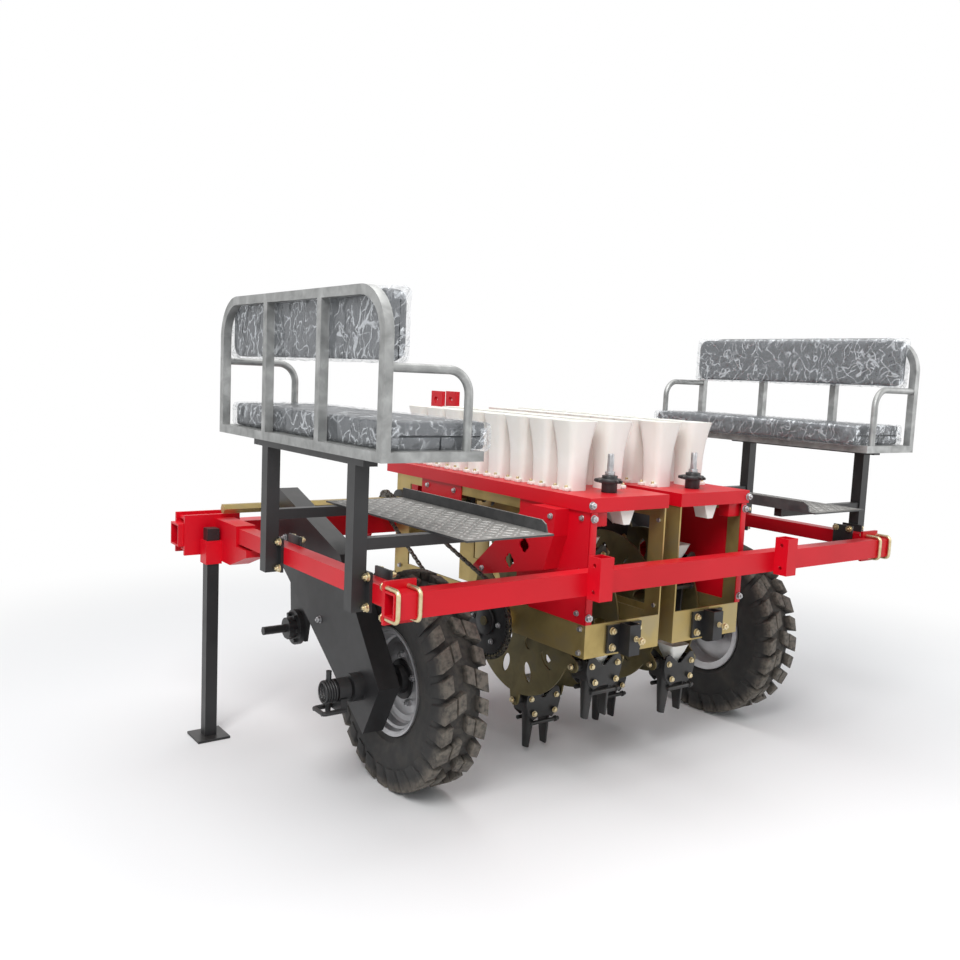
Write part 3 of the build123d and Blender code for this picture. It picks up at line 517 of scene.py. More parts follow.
def makeBolts():
    kinds = {key: hexBolt(*size) for key, size in boltSpec.items()}
    bolts = {key: [] for key in boltRows}
    for label, side in sides:
        ways = {"out": (side, 0, 0), "in": (-side, 0, 0), "back": (0, -1, 0), "front": (0, 1, 0)}
        for key, rows in boltRows.items():
            for kind, way, places in rows:
                bolts[key] += setBolts(kinds[kind], [(at(side * x, y, z), ways[way]) for x, y, z in places])
        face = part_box("socket_plates")[0][1]
        screw = Vector((side * setScrew["unitX"] + setScrew["aside"], face, setScrew["z"]))
        tail = screw - Vector((0, setScrew["long"], 0))
        for kind, place in (("small", screw), ("middle", tail)):
            bolts["gold"] += setBolts(kinds[kind], [(place, ways["back"])])
        bolts["gold"].append(roundBar(screw, tail, setScrew["radius"]))
    handOver(joinAll(bolts["gold"]), "gold_bolts", "frame", "bolt_zinc")
    handOver(joinAll(bolts["plain"]), "plain_bolts", "frame", "bolt_zinc", look="bolt_steel")
    for bolt in kinds.values():
        discard(bolt)
    print("bolts set")


makeBolts()


# Cups: a rounded square drawn upwards ring by ring, then turned in for its wall
cupSpec = {
    "firstY": 285, "pitch": 120, "count": 8, "unitX": 187, "rowX": 75, "deckTop": 923, "wall": 3,
    "rings": [(74, 0), (75, 45), (78, 96), (82.5, 122), (90, 150), (100, 180), (110, 203), (115, 214)], "corner": 0.24,
    "tabX": 0.026, "tabLow": (-0.011, 0.034, 0), "tabSize": (0.022, 0.017, 0.012), "tabEdge": 0.003,
    "screw": (9, 4, 6), "screwY": 0.0445, "screwZ": 0.0115,
}


def drawnCup(rings, wall, corner):
    objectMode()
    bpy.ops.mesh.primitive_plane_add(size=rings[0][0] / 1000, location=(0, 0, rings[0][1] / 1000))
    cup = editAll(settle())
    bpy.ops.mesh.bevel(offset=rings[0][0] * corner / 1000, segments=4, affect="VERTICES")
    bpy.ops.mesh.select_all(action="SELECT")
    inside = [(size - 2 * wall, max(z, rings[0][1] + wall)) for size, z in reversed(rings)]
    for path, start in ((rings, None), (inside, wall)):
        if start:
            bpy.ops.mesh.inset(thickness=start / 1000)
        for (size, z), (nextSize, nextZ) in zip(path, path[1:]):
            drawOut((0, 0, (nextZ - z) / 1000))
            grow = nextSize / size
            bpy.ops.transform.resize(value=(grow, grow, 1), center_override=(0, 0, nextZ / 1000))
    objectMode()
    return outward(cup)


def makeCup():
    spec = cupSpec
    parts = [drawnCup(spec["rings"], spec["wall"], spec["corner"])]
    for way in (-1, 1):
        low = Vector((way * spec["tabX"], 0, 0)) + Vector(spec["tabLow"])
        parts.append(softBox(low, low + Vector(spec["tabSize"]), spec["tabEdge"]))
    return joinAll(parts)


def makeCups():
    spec = cupSpec
    cup = makeCup()
    screw = hexBolt(*spec["screw"])
    screws = []
    for label, side in sides:
        copies = []
        for k in range(spec["count"]):
            for row in (-1, 1):
                x = side * (spec["unitX"] + row * spec["rowX"])
                place = at(x, spec["firstY"] + k * spec["pitch"], spec["deckTop"])
                stand = moved(place) @ Matrix.Rotation(-row * side * pi / 2, 4, "Z")
                copies.append(copyAt(cup, stand))
                for way in (-1, 1):
                    spot = Vector((way * spec["tabX"], spec["screwY"], spec["screwZ"]))
                    screws.append(copyAt(screw, stand @ moved(spot)))
        handOver(outward(joinAll(copies)), "seedling_cups_" + label, "frame", "white_plastic", ["cups_" + label], 40)
    handOver(joinAll(screws), "cup_screws", "frame", "bolt_zinc")
    discard(cup)
    discard(screw)
    print("cups made")


makeCups()


def wireRod(points, radius, bend, steps=6):
    # a round bar along a bent line, its corners turned on the bend radius, in metres
    line = []
    for k, point in enumerate(points):
        point = Vector(point)
        if k in (0, len(points) - 1):
            line.append(point)
            continue
        back = (Vector(points[k - 1]) - point).normalized()
        ahead = (Vector(points[k + 1]) - point).normalized()
        for n in range(steps + 1):
            t = n / steps
            line.append(point + back * bend * (1 - t) ** 2 + ahead * bend * t**2)
    data = bpy.data.curves.new("rod", "CURVE")
    data.dimensions = "3D"
    data.bevel_depth = radius
    data.bevel_resolution = 3
    data.use_fill_caps = True
    spline = data.splines.new("POLY")
    spline.points.add(len(line) - 1)
    for spot, place in zip(spline.points, line):
        spot.co = (*place, 1)
    rod = bpy.data.objects.new("rod", data)
    bpy.context.collection.objects.link(rod)
    pick(rod)
    bpy.ops.object.convert(target="MESH")
    return bpy.context.object


# Duckbills: a white hopper between black cheeks, over two splayed jaws
billSpec = {
    "plantY": 478, "plantZ": 482, "ring": 288, "count": 5, "phase": {"left": 2, "right": -58}, "unitX": 187,
    "hopper": [(16, -30), (26, -12), (32, 6), (60, 36), (80, 57), (86, 62)], "hopperWall": 3, "hopperCorner": 0.18,
    "throat": 0.5, "throatTop": 0.057, "throatFade": 0.05,
    "cheek": [(-72, 10), (-64, 32), (-48, 36), (-6, 2), (6, 2), (48, 36), (64, 32), (72, 10), (74, -14), (64, -50),
              (40, -72), (20, -64), (-20, -64), (-40, -72), (-64, -50), (-74, -14)],
    "cheekY": 38, "cheekThick": 5, "cheekEdge": 0.0012,
    "jawTop": 29, "jawTip": 15, "jawLong": 134, "jawSplay": 4, "jawX": 30, "jawTipZ": -175,
    "jawEdge": 0.012,
    "pivot": ((-0.105, 0, 0), (0.105, 0, 0), 0.008),
    "pin": ((0.044, -0.045, -0.046), (0.044, 0.045, -0.046), 0.009), "collar": ((0.062, 0, 0), (0.089, 0, 0), 0.017),
    "rod": ((-0.052, 0.036, -0.082), (0.07, 0.036, -0.082), 0.007),
    "rodNut": ((0.052, 0.036, -0.082), (0.059, 0.036, -0.082), 0.011, 6, 0.001),
    "strapX": 0.066, "strapLow": (-0.004, -0.035, -0.044), "strapHigh": (0.004, 0.035, 0.018), "strapEdge": 0.0015,
    "bolt": (14, 6, 10), "cheekBolt": (0.054, 0.038, 0.004), "pinBolt": (0.044, 0.0445, -0.046), "pivotBolt": 0.104,
}


def makeJaw(side):
    spec = billSpec
    objectMode()
    long = spec["jawLong"] / 1000
    bpy.ops.mesh.primitive_cone_add(vertices=24, radius1=spec["jawTip"] / 1000, radius2=spec["jawTop"] / 1000,
                                    depth=long)
    jaw = editAll(settle())
    bpy.ops.mesh.bisect(plane_co=(0, 0, 0), plane_no=(side, 0, 0), use_fill=True, clear_inner=True)
    objectMode()
    soften(jaw, spec["jawEdge"], 5, angle_limit=radians(40))
    lean = Matrix.Rotation(radians(-side * spec["jawSplay"]), 4, "Y")
    rise = spec["jawTipZ"] / 1000 + long / 2
    jaw.data.transform(moved((side * spec["jawX"] / 1000, 0, rise)) @ lean)
    return jaw


def makeHopper():
    spec = billSpec
    hopper = drawnCup(spec["hopper"], spec["hopperWall"], spec["hopperCorner"])
    for point in hopper.data.vertices:  # the throat is wider across the machine than along it
        below = (spec["throatTop"] - point.co.z) / spec["throatFade"]
        point.co.x *= 1 + spec["throat"] * min(max(below, 0), 1)
    return hopper


def makeBillIron():
    spec = billSpec
    parts = [makeJaw(-1), makeJaw(1)]
    thick = spec["cheekThick"]
    for y in (-spec["cheekY"], spec["cheekY"] - thick):
        cheek = flatPlate([(x, y, z) for x, z in spec["cheek"]], (0, thick, 0))
        parts.append(soften(cheek, spec["cheekEdge"]))
    parts.append(roundBar(*spec["pivot"]))
    for way in (-1, 1):
        across, along = Vector((way, 1, 1)), Vector((1, way, 1))
        for key, flip in (("pin", across), ("collar", across), ("rod", along), ("rodNut", along)):
            first, last, *size = spec[key]
            parts.append(roundBar(Vector(first) * flip, Vector(last) * flip, *size))
        middle = Vector((way * spec["strapX"], 0, 0))
        strap = [middle + Vector(spec[key]) for key in ("strapLow", "strapHigh")]
        parts.append(softBox(*strap, spec["strapEdge"]))
    return outward(joinAll(parts))


def makeBillBolts():
    bolt = hexBolt(*billSpec["bolt"])
    places = []
    for x in (-1, 1):
        for y in (-1, 1):
            for key in ("cheekBolt", "pinBolt"):
                places.append((Vector(billSpec[key]) * Vector((x, y, 1)), (0, y, 0)))
        places.append((Vector((x * billSpec["pivotBolt"], 0, 0)), (x, 0, 0)))
    bolts = joinAll(setBolts(bolt, places))
    discard(bolt)
    return bolts


def makeBills():
    spec = billSpec
    hopper, iron, bolts = makeHopper(), makeBillIron(), makeBillBolts()
    for label, side in sides:
        for k in range(spec["count"]):
            a = radians(spec["phase"][label] - 90 + 360 * k / spec["count"])
            y = spec["plantY"] + spec["ring"] * cos(a)
            z = spec["plantZ"] + spec["ring"] * sin(a)
            spot = moved(at(side * spec["unitX"], y, z))
            mark = label + "_" + str(k + 1)
            body, node = "bill_" + mark, ["duckbill_" + mark]
            handOver(copyAt(hopper, spot), "bill_hopper_" + mark, body, "white_plastic", node, 40)
            handOver(copyAt(iron, spot), "bill_jaws_" + mark, body, "bill_black", node)
            handOver(copyAt(bolts, spot), "bill_bolts_" + mark, body, "bolt_zinc")
    for obj in (hopper, iron, bolts):
        discard(obj)
    print("duckbills made")


makeBills()


# Sprockets and roller chains
gearSpec = {
    "side": {"root": 106, "tip": 114, "thick": 9, "teeth": 44},
    "front": {"root": 31, "tip": 41, "thick": 8, "teeth": 14},
    "deck": {"root": 36, "tip": 48, "thick": 13, "teeth": 9},
    "flank": 0.24, "toothEdge": 0.0008,
    "chain": {"x": 420, "front": (1140, 780, 38.5), "back": (478, 482, 120.5), "pitch": 15.9},
    "frontHub": (-0.012, 0.012, 0.024), "sideHub": (-0.012, 0.011, 0.046),
    "bolt": (13, 6, 9), "boltCount": 6, "boltRing": 0.07, "boltX": 0.0045,
    "deckRows": (195, 1215), "deckTop": 923, "unitX": 187, "deckGearZ": 0.036,
    "deckHub": (0, 0.052, 0.024), "deckShaft": (0.045, 0.118, 0.01), "deckNut": (0.052, 0.064, 0.016),
}
linkSpec = {"plates": (4.6, 2.8), "half": 7.95, "end": 4.4, "thick": 1.5, "roller": 0.0038, "rollerLong": 0.013}


def toothedDisc(spec):
    # a disc about Z, with every second edge face drawn out to a tooth
    objectMode()
    count = 2 * spec["teeth"]
    root, tip = spec["root"] / 1000, spec["tip"] / 1000
    bpy.ops.mesh.primitive_cylinder_add(vertices=count, radius=root, depth=spec["thick"] / 1000)
    disc = bpy.context.object
    step = 2 * pi / count

    def second(face):
        n = face.normal
        return abs(n.z) < 0.1 and round(atan2(n.y, n.x) / step - 0.5) % 2 == 0

    choose(disc, "FACE", second)
    bpy.ops.mesh.inset(thickness=step * root * gearSpec["flank"], depth=tip - root, use_individual=True)
    objectMode()
    return soften(disc, gearSpec["toothEdge"], 1)


def chainLink(plateX):
    outline = []
    end, thick = linkSpec["end"], linkSpec["thick"]
    for way in (-1, 1):
        for a in (-90, -45, 0, 45, 90):
            turn = radians(a)
            outline.append((plateX, way * (linkSpec["half"] + end * cos(turn)), way * end * sin(turn)))
    plate = flatPlate(outline, (thick, 0, 0))
    other = copyAt(plate, moved((-(2 * plateX + thick) / 1000, 0, 0)))
    objectMode()
    bpy.ops.mesh.primitive_cylinder_add(vertices=8, radius=linkSpec["roller"], depth=linkSpec["rollerLong"],
                                        rotation=(0, pi / 2, 0), location=(0, linkSpec["half"] / 1000, 0))
    return joinAll([plate, other, settle()])


def chainPath():
    # places round the loop, one link apart: two straights and two arcs, each with the round it starts from
    frontY, frontZ, small = gearSpec["chain"]["front"]
    backY, backZ, big = gearSpec["chain"]["back"]
    long = hypot(frontY - backY, frontZ - backZ)
    ahead = atan2(frontZ - backZ, frontY - backY)
    spread = acos((big - small) / long)
    straight = sqrt(long**2 - (big - small) ** 2)
    upper, lower = ahead + spread, ahead - spread
    runs = [(straight, backY, backZ, big, upper, False), (small * 2 * spread, frontY, frontZ, small, upper, True),
            (straight, frontY, frontZ, small, lower, False),
            (big * 2 * (pi - spread), backY, backZ, big, lower, True)]
    total = sum(run[0] for run in runs)
    count = 2 * round(total / gearSpec["chain"]["pitch"] / 2)
    spots = []
    for k in range(count):
        s = total * k / count
        for run, y, z, radius, a, bent in runs:
            if s < run:
                break
            s -= run
        if bent:
            a, s = a - s / radius, 0.0
        spots.append((y + radius * cos(a) + s * sin(a), z + radius * sin(a) - s * cos(a), a))
    return spots


def barAlong(base, direction, size, sidesCount, edge=0.0015):
    # a bar from one distance to another along a direction
    start, end, radius = size
    return roundBar(base + start * direction, base + end * direction, radius, sidesCount, edge)


def makeGears():
    spec = gearSpec
    links = [chainLink(plateX) for plateX in linkSpec["plates"]]
    upright = Matrix.Rotation(pi / 2, 4, "Y")
    sideGear, frontGear, deckGear = (toothedDisc(spec[key]) for key in ("side", "front", "deck"))
    bolt = hexBolt(*spec["bolt"])
    chains, decks, shafts = [], [], []
    for label, side in sides:
        out, up = Vector((side, 0, 0)), Vector((0, 0, 1))
        x = side * spec["chain"]["x"]
        for k, (y, z, a) in enumerate(chainPath()):
            turn = Matrix.Rotation(a - pi / 2, 4, "X")
            chains.append(copyAt(links[k % 2], moved(at(x, y, z)) @ turn))
        frontHub, sideHub = (at(x, *spec["chain"][key][:2]) for key in ("front", "back"))
        chains.append(copyAt(frontGear, moved(frontHub) @ upright))
        chains.append(barAlong(frontHub, out, spec["frontHub"], 24))
        wheel = [copyAt(sideGear, moved(sideHub) @ upright)]
        wheel.append(barAlong(sideHub, out, spec["sideHub"], 32))
        ring = boltRing(sideHub + spec["boltX"] * out, out, spec["boltRing"], spec["boltCount"])
        body = "planter_" + label
        handOver(joinAll(wheel), "toothed_sprocket_" + label, body, "black_paint", ["side_sprocket_" + label])
        handOver(joinAll(setBolts(bolt, ring)), "sprocket_bolts_" + label, body, "bolt_zinc", look="bolt_steel")
        for y in spec["deckRows"]:
            foot = at(side * spec["unitX"], y, spec["deckTop"])
            decks.append(copyAt(deckGear, moved(foot + spec["deckGearZ"] * up)))
            decks.append(barAlong(foot, up, spec["deckHub"], 24))
            shafts.append(barAlong(foot, up, spec["deckShaft"], 20))
            shafts.append(barAlong(foot, up, spec["deckNut"], 6, 0.001))
    handOver(joinAll(chains), "roller_chains", "frame", "chain_steel", ["drive_chains"])
    handOver(joinAll(decks), "deck_sprockets", "frame", "black_paint", ["cup_sprockets"])
    handOver(joinAll(shafts), "deck_shafts", "frame", "chain_steel", ["cup_sprockets"], look="bolt_steel")
    for obj in (*links, sideGear, frontGear, deckGear, bolt):
        discard(obj)
    print("sprockets and chains made")


makeGears()


# Foot plates: raised lozenges, turned in alternate rows
treadSpec = {
    "outer": 860, "inner": 575, "rear": -10, "front": 760, "top": 850, "pitch": 30, "margin": 20,
    "first": 16, "shiftX": 0.3, "shiftY": 0.4, "sunk": 0.2,
    "size": (0.027, 0.0085, 1), "high": 0.0016, "crown": (0.72, 0.6, 1),
}


def makeTreadMarks():
    spec = treadSpec
    objectMode()
    bpy.ops.mesh.primitive_circle_add(vertices=8, radius=0.5, fill_type="NGON")
    mark = bpy.context.object
    mark.scale = spec["size"]
    editAll(settle(mark))
    rise = (0, 0, spec["high"])
    drawOut(rise)
    bpy.ops.transform.resize(value=spec["crown"], center_override=rise)
    objectMode()
    copies = []
    pitch, first, margin = (spec[key] for key in ("pitch", "first", "margin"))
    rows = int((spec["outer"] - spec["inner"] - margin) / pitch)
    columns = int((spec["front"] - spec["rear"] - margin) / pitch)
    for label, side in sides:
        for i in range(rows):
            for k in range(columns):
                x = side * (spec["outer"] - first - (i + spec["shiftX"]) * pitch)
                y = spec["rear"] + first + (k + spec["shiftY"]) * pitch
                turn = Matrix.Rotation(radians(45 if (i + k) % 2 else -45), 4, "Z")
                copies.append(copyAt(mark, moved(at(x, y, spec["top"] - spec["sunk"])) @ turn))
    discard(mark)
    handOver(outward(joinAll(copies)), "chequer_marks", "frame", "chequer_plate", look="chequer_marks")
    print("chequer marks made")


makeTreadMarks()


# Small fittings: post clamps, panel flanges, bearing blocks, U-bolts, clutch springs and loops, wheel nuts
fitSpec = {
    "posts": (155, 682), "clamp": ((995, -40, 660), (1003, 40, 762)), "clampEdge": 0.0015,
    "flange": ((346, 95, 546), (322, 99, 880)), "flangeEdge": 0.001,
    "block": ((330, 107, 836), (272, 150, 881)), "blockEdge": 0.002,
    "uBoltX": (1050, 988), "uBolt": ((60, 659), (-6, 659), (-6, 737), (60, 737)), "uRadius": 0.006, "uBend": 0.016,
    "wheelY": 495, "hubZ": 330,
    "springX": 951, "springRadius": 0.031, "springWire": 0.0035, "springTurns": 5, "springLong": 0.04,
    "springSteps": 110,
    "nut": (19, 11, 13, 6), "nutCount": 5, "nutPhase": 18, "nutRing": 0.076, "nutX": 14,
    "loopX": 1000, "loopZ": 275, "loop": ((-70, -32), (0, -32), (0, 32), (-70, 32)), "loopRadius": 0.0065,
    "loopBend": 0.01,
}


def sideBox(side, corners, edge, y=0):
    # a soft box between two corners given for the right-hand side, in millimetres
    a, b = (at(side * corner[0], y + corner[1], corner[2]) for corner in corners)
    return softBox((min(a.x, b.x), a.y, a.z), (max(a.x, b.x), b.y, b.z), edge)


def makeSpring(side, start):
    spec = fitSpec
    objectMode()
    bpy.ops.mesh.primitive_circle_add(vertices=10, radius=spec["springWire"], rotation=(pi / 2, 0, 0))
    coil = settle()
    coil.data.transform(moved((spec["springRadius"], 0, 0)))
    steps = spec["springSteps"]
    useModifier(coil, "SCREW", axis="Z", angle=2 * pi * spec["springTurns"],
                screw_offset=spec["springLong"], steps=steps, render_steps=steps)
    coil.data.transform(Matrix.Rotation(side * pi / 2, 4, "Y"))
    coil.data.transform(moved(start))
    return outward(coil)


def makeFittings():
    spec = fitSpec
    clamps, flanges, rods, blocks = [], [], [], []
    nut = hexBolt(*spec["nut"])
    for label, side in sides:
        body = "wheel_" + label
        for y in spec["posts"]:
            clamps.append(sideBox(side, spec["clamp"], spec["clampEdge"], y))
        flanges.append(sideBox(side, spec["flange"], spec["flangeEdge"]))
        wheelY, hubZ = spec["wheelY"], spec["hubZ"]
        spring = makeSpring(side, at(side * spec["springX"], wheelY, hubZ))
        handOver(spring, "clutch_spring_" + label, body, "black_paint")
        middle = at(side * (wheelX + spec["nutX"]), wheelY, hubZ)
        ring = boltRing(middle, (side, 0, 0), spec["nutRing"], spec["nutCount"], spec["nutPhase"])
        handOver(joinAll(setBolts(nut, ring)), "wheel_nuts_" + label, body, "bolt_zinc", look="bolt_steel")
        for x in spec["uBoltX"]:
            path = [at(side * x, y, z) for y, z in spec["uBolt"]]
            rods.append(wireRod(path, spec["uRadius"], spec["uBend"]))
        blocks.append(sideBox(side, spec["block"], spec["blockEdge"]))
        loop = [at(side * (spec["loopX"] + dx), wheelY + dy, spec["loopZ"]) for dx, dy in spec["loop"]]
        rod = wireRod(loop, spec["loopRadius"], spec["loopBend"])
        handOver(rod, "clutch_loop_" + label, body, "black_paint")
    discard(nut)
    handOver(joinAll(rods), "bent_u_bolts", "frame", "bolt_zinc", ["beam_u_bolts"], 40)
    handOver(joinAll(blocks), "bearing_blocks", "frame", "red_paint")
    handOver(joinAll(clamps), "post_clamps", "frame", "black_paint")
    handOver(joinAll(flanges), "panel_flanges", "frame", "red_paint")
    print("small fittings made")


makeFittings()


# Cushions: the CAD slab a little smaller, blown up as cloth so its faces swell and its edges soften
cushionSpec = {"inset": 1.5, "voxel": 0.009, "pressure": 4, "frames": 20, "reach": 0.0025}


def puffedCushion(nodeName):
    spec = cushionSpec
    obj = bpy.data.objects.new(nodeName + "_pad", nodes[nodeName].data.copy())
    bpy.context.collection.objects.link(obj)
    outward(obj, 0.0001)
    low = Vector([min(p.co[i] for p in obj.data.vertices) for i in range(3)])
    high = Vector([max(p.co[i] for p in obj.data.vertices) for i in range(3)])
    middle, size = (low + high) / 2, high - low
    shrink = [1 - 2 * spec["inset"] / 1000 / s for s in size]
    obj.data.transform(moved(middle) @ Matrix.Diagonal((*shrink, 1)) @ moved(-middle))
    useModifier(obj, "REMESH", mode="VOXEL", voxel_size=spec["voxel"])
    before = [p.co.copy() for p in obj.data.vertices]
    pick(obj)
    cloth = obj.modifiers.new("swell", "CLOTH")
    cloth.settings.quality = 4
    cloth.settings.use_pressure = True
    cloth.settings.uniform_pressure_force = spec["pressure"]
    cloth.settings.effector_weights.gravity = 0.0
    cloth.point_cache.frame_end = spec["frames"]
    for step in range(1, spec["frames"] + 1):
        bpy.context.scene.frame_set(step)
    bpy.ops.object.modifier_apply(modifier=cloth.name)
    bpy.context.scene.frame_set(1)
    for point, old in zip(obj.data.vertices, before):
        move = point.co - old
        if move.length > spec["reach"]:
            point.co = old + move.normalized() * spec["reach"]
    useModifier(obj, "SUBSURF", levels=1, render_levels=1)
    return obj


# Film: a flat sheet wrapped once round each cushion, lapped beneath and folded in over the ends
filmSpec = {
    "seat": {"x": (787, 1089), "y": (11, 960), "z": (1075, 1145), "over": 41, "corner": 12, "seed": 3},
    "back": {"x": (1035, 1095), "y": (11, 960), "z": (1285, 1459), "over": 37, "corner": 12, "seed": 9},
    "gap": 1.2, "along": 190, "round": 120, "lap": 0.004, "slack": 1, "short": 3,
    "turnIn": 0.92, "turnFrom": 3, "endLift": 3, "endReach": 4, "crumple": 5, "creep": 0.05,
}
# film look: a light tone whose opacity rises along the crease streaks as painted highlights; the streaks also give the
# bump
filmLook = {
    "tone": (0.8, 0.83, 0.86, 1), "metal": 0.5, "rough": (0.2, 0.8, 0.08, 0.24), "alpha": (0.17, 0.55),
    "bump": 0.9, "bumpDeep": 0.006, "patch": (7, 3), "detail": 1.6, "twist": 0.15, "lean": 0.7, "pull": 7,
    "streaks": [
        {"turn": 0.35, "scale": 15, "width": 0.022, "patch": (0.44, 0.56)},
        {"turn": -0.75, "scale": 18, "width": 0.022, "patch": (0.56, 0.44)},
        {"turn": -0.15, "scale": 34, "width": 0.03, "patch": (0.46, 0.6)},
        {"turn": 0.9, "scale": 28, "width": 0.03, "patch": (0.54, 0.4)},
    ],
}


def makeFilmFinish():
    # painted highlight: the creases are made more opaque in the film's light tone so they show white under any lamp,
    # and the flat of the film faintly
    material, tree, shader, place = newMaterial("film")
    patch = grain(tree, place, *filmLook["patch"])
    creaseGlint, relief = 0, 0.0
    for spec in filmLook["streaks"]:  # each drawn out along its own slanting line
        pull = addNode(tree, "Mapping", {
            "Vector": place, "Rotation": (spec["turn"], filmLook["lean"], 0),
            "Scale": (1, 1, filmLook["pull"])}, vector_type="TEXTURE")
        streak = grain(tree, pull.outputs["Vector"], spec["scale"], filmLook["detail"], filmLook["twist"])
        away = reckon(tree, "ABSOLUTE", reckon(tree, "SUBTRACT", streak, 0.5), 0)
        glintRidge = rescale(tree, away, 0, spec["width"], 1, 0, "SMOOTHSTEP")
        shown = rescale(tree, patch, *spec["patch"], easing="SMOOTHSTEP")
        creaseGlint = reckon(tree, "MAXIMUM", creaseGlint, reckon(tree, "MULTIPLY", glintRidge, shown))
        relief = reckon(tree, "ADD", relief, streak)
    bump = addNode(tree, "Bump", {"Strength": filmLook["bump"], "Distance": filmLook["bumpDeep"], "Height": relief})
    # the crease mask raises the alpha: painted white highlights along the creases
    setInputs(tree, shader, {
        "Alpha": rescale(tree, creaseGlint, 0, 1, *filmLook["alpha"], "SMOOTHSTEP"),
        "Roughness": rescale(tree, patch, *filmLook["rough"], "SMOOTHSTEP"),
        "Normal": bump.outputs["Normal"], "Base Color": filmLook["tone"], "Metallic": filmLook["metal"]})
    return material


finishes["film"] = makeFilmFinish()


def wrapPoint(s, wide, tall, corner):
    # a place and its outward direction on a rounded rectangle, s from 0 to 1 starting beneath its middle
    arc = pi * corner / 2
    a, b = wide / 2 - corner, tall / 2 - corner
    # straights and corners in turn: the run, the direction it faces, and where it starts or turns
    runs = [(a, (0, -1), (0, -b - corner)), (arc, None, (a, -b)), (2 * b, (1, 0), (a + corner, -b)),
            (arc, None, (a, b)), (2 * a, (0, 1), (a, b + corner)), (arc, None, (-a, b)),
            (2 * b, (-1, 0), (-a - corner, b)), (arc, None, (-a, -b)), (a, (0, -1), (-a, -b - corner))]
    total = sum(run[0] for run in runs)
    d = (s * total) % total
    for k, (run, normal, spot) in enumerate(runs):
        if d <= run or k == len(runs) - 1:
            if normal:
                return (spot[0] - normal[1] * d, spot[1] + normal[0] * d), normal
            turn = radians(-90 + 90 * (k // 2)) + d / corner
            normal = (cos(turn), sin(turn))
            return (spot[0] + corner * normal[0], spot[1] + corner * normal[1]), normal
        d -= run


wrinkleSpec = {"along": 0.012, "round": 3.2, "twist": 0.5, "twistScale": 0.8, "high": 3.4, "sharp": 3,
               "fineScale": 2.7, "fineShift": (5, 2, 0), "fineHigh": 1.4, "fineSharp": 4}


def wrinkle(y, s, seed):
    # creases run mostly across the slab, sharper than they are wide
    spec = wrinkleSpec
    place = Vector((y * spec["along"], s * spec["round"], seed))
    twisted = place + spec["twist"] * noise.noise_vector(place * spec["twistScale"])
    creaseGlint = (1 - abs(noise.noise(twisted))) ** spec["sharp"]
    fine = (1 - abs(noise.noise(twisted * spec["fineScale"] + Vector(spec["fineShift"])))) ** spec["fineSharp"]
    return spec["high"] * creaseGlint + spec["fineHigh"] * fine


def makeFilm(label):
    spec = filmSpec[label]
    wide, tall = (spec[key][1] - spec[key][0] - filmSpec["slack"] for key in ("x", "z"))
    end = (spec["y"][1] - spec["y"][0]) / 2 - filmSpec["short"]
    long = 2 * (end + spec["over"])
    corner = spec["corner"]
    girth = 2 * (wide + tall - 4 * corner) + 2 * pi * corner
    objectMode()
    bpy.ops.mesh.primitive_grid_add(x_subdivisions=filmSpec["round"], y_subdivisions=filmSpec["along"], size=1)
    film = bpy.context.object
    film.scale = (girth / 1000, long / 1000, 1)
    settle(film)
    midX, midY, midZ = (sum(spec[key]) / 2 for key in ("x", "y", "z"))
    for point in film.data.vertices:
        s = min(max(point.co.x * 1000 / girth + 0.5, 0), 1)
        y = point.co.y * 1000
        lap = filmSpec["lap"]
        (across, up), (nx, nz) = wrapPoint(lap + (1 - 2 * lap) * s, wide, tall, corner)
        lift = filmSpec["gap"] + wrinkle(y, s * girth / 1000, spec["seed"])
        past = abs(y) - end
        if past > 0:  # the last of the film turns in over the slab's end, crumpled
            crumple = noise.noise(Vector((s * 26, past * 0.09, spec["seed"] + (1 if y > 0 else 7))))
            lift = min(lift, filmSpec["endLift"]) - filmSpec["turnIn"] * max(0, past - filmSpec["turnFrom"])
            reach = min(past, filmSpec["endReach"]) + filmSpec["crumple"] * max(0, crumple)
            y = copysign(end + reach + filmSpec["creep"] * past, y)
        point.co = at(-(midX + across + nx * lift), midY + y, midZ + up + nz * lift)
    return outward(film), (girth / 1000, long / 1000)


padSmooth = 60  # degrees


def makeCushions():
    for kind in ("seat", "back"):
        pad = puffedCushion(kind + "_cushion_left")
        film, flat = makeFilm(kind)
        for label, side in sides:
            flip = Matrix.Diagonal((-side, 1, 1, 1))
            name = kind + "_pad_" + label
            twin = outward(copyAt(pad, flip))
            handOver(twin, name, "frame", "cushion", [kind + "_cushion_" + label], padSmooth)
            cover = outward(copyAt(film, flip))
            handOver(cover, kind + "_film_" + label, "frame", "cushion", (), padSmooth, "film")
        discard(pad)
        discard(film)
    print("cushions and their film made")


makeCushions()


# Stage: floor, lamps, white surround and the camera at the photograph's place
stageSpec = {
    "floorHalf": 30, "floorZ": -0.0005, "floorTone": (0.8, 0.8, 0.8, 1), "floorRough": 0.8,
    "fadeFrom": 1.7, "fadeTo": 3.4, "skyTone": (0.93, 0.96, 1, 1), "skyPower": 0.45, "white": (1, 1, 1, 1),
}


def seenBy(tree, *kinds):
    # one where the ray is any of these kinds
    rays = addNode(tree, "LightPath", {})
    seen = 0.0
    for kind in kinds:
        seen = reckon(tree, "MAXIMUM", seen, rays.outputs["Is " + kind + " Ray"])
    return seen


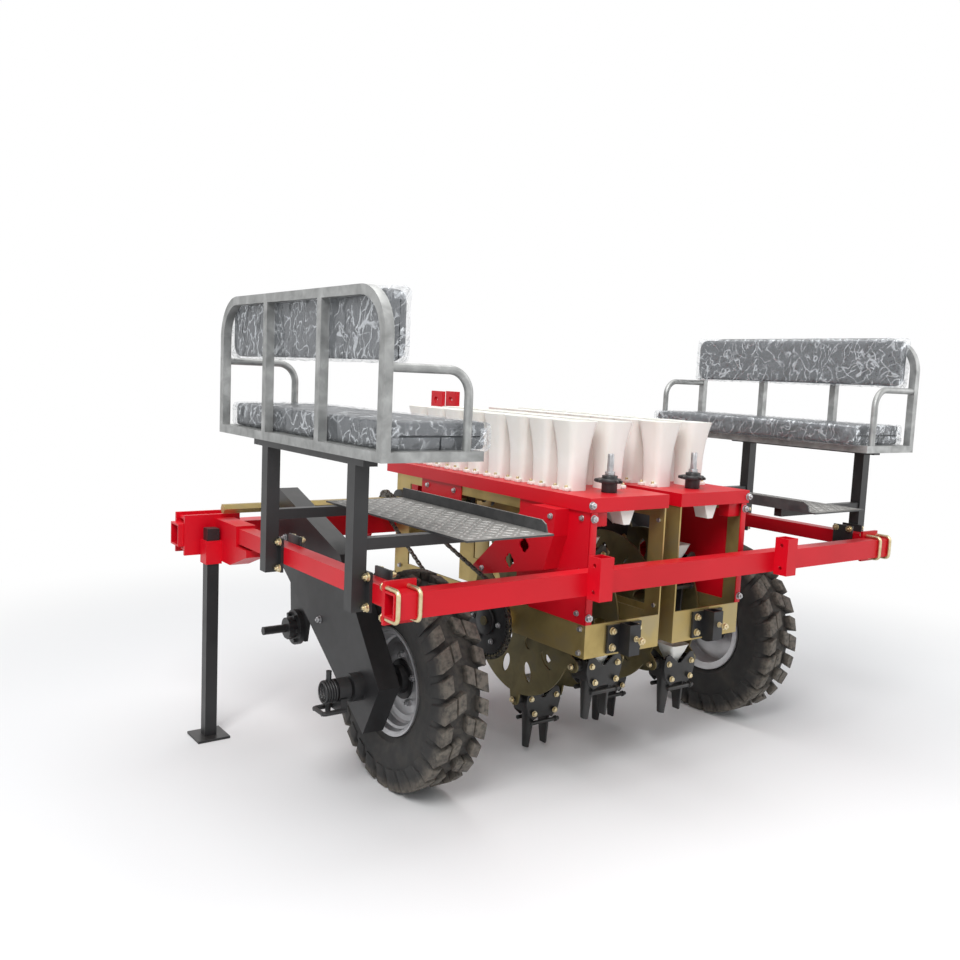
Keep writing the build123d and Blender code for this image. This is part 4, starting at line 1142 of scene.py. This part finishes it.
def makeStage():
    spec = stageSpec
    objectMode()
    bpy.ops.mesh.primitive_plane_add(size=2 * spec["floorHalf"], location=(0, 0, spec["floorZ"]))
    floor = settle()
    floor.name = "floor"
    material, tree, shader, place = newMaterial("floor")
    setInputs(tree, shader, {"Base Color": spec["floorTone"], "Roughness": spec["floorRough"]})
    glow = addNode(tree, "Emission", {})
    far = addNode(tree, "VectorMath", {0: place}, operation="LENGTH").outputs["Value"]
    fade = rescale(tree, far, spec["fadeFrom"], spec["fadeTo"], easing="SMOOTHSTEP")
    share = reckon(tree, "MULTIPLY", fade, seenBy(tree, "Camera", "Glossy", "Transmission"))
    mix = addNode(tree, "MixShader", {"Fac": share, 1: shader.outputs["BSDF"], 2: glow.outputs["Emission"]})
    setInputs(tree, tree.nodes["Material Output"], {"Surface": mix.outputs["Shader"]})
    floor.data.materials.append(material)


def makeSurround():
    world = bpy.data.worlds.new("surround")
    bpy.context.scene.world = world
    world.use_nodes = True
    tree = world.node_tree
    tree.nodes.clear()
    lit = addNode(tree, "Background", {"Color": stageSpec["skyTone"], "Strength": stageSpec["skyPower"]})
    white = addNode(tree, "Background", {"Color": stageSpec["white"], "Strength": 1})
    share = seenBy(tree, "Camera", "Transmission", "Glossy")
    mix = addNode(tree, "MixShader", {"Fac": share, 1: lit.outputs["Background"], 2: white.outputs["Background"]})
    addNode(tree, "OutputWorld", {"Surface": mix.outputs["Shader"]})


lampSpecs = [
    {"name": "key", "place": (-3.2, -2.6, 4.2), "aim": (0, 0, 0.6), "size": 2.4, "power": 200},
    {"name": "fill", "place": (3.6, -3, 2.6), "aim": (0, 0, 0.6), "size": 3.5, "power": 55},
    {"name": "top", "place": (0, 0.4, 4.6), "aim": (0, 0, 0.5), "size": 4, "power": 120},
]


def makeLamps():
    for spec in lampSpecs:
        bpy.ops.object.light_add(type="AREA", location=spec["place"])
        lamp = bpy.context.object
        lamp.name = spec["name"]
        lamp.data.size = spec["size"]
        lamp.data.energy = spec["power"]
        turn = (Vector(spec["aim"]) - lamp.location).to_track_quat("-Z", "Y")
        lamp.rotation_euler = turn.to_euler()


cameraSpec = {"place": (-2.22864, -2.62852, 1.26221), "yaw": 36.072, "pitch": -6.228, "roll": 2.528, "lens": 35.965}


def makeCamera():
    yaw = radians(cameraSpec["yaw"])
    pitch = radians(cameraSpec["pitch"])
    roll = radians(cameraSpec["roll"])
    ahead = Vector((sin(yaw) * cos(pitch), cos(yaw) * cos(pitch), sin(pitch)))
    right = Vector((cos(yaw), -sin(yaw), 0))
    up = right.cross(ahead)
    tiltRight = right * cos(roll) + up * sin(roll)
    tiltUp = up * cos(roll) - right * sin(roll)
    turn = Matrix((tiltRight, tiltUp, -ahead)).transposed().to_4x4()
    bpy.ops.object.camera_add()
    camera = bpy.context.object
    camera.matrix_world = moved(cameraSpec["place"]) @ turn
    camera.data.sensor_width = 36.0
    camera.data.lens = cameraSpec["lens"]
    bpy.context.scene.camera = camera


makeStage()
makeSurround()
makeLamps()
makeCamera()
bpy.context.scene.view_settings.view_transform = "Standard"
print("stage, lamps and camera set")
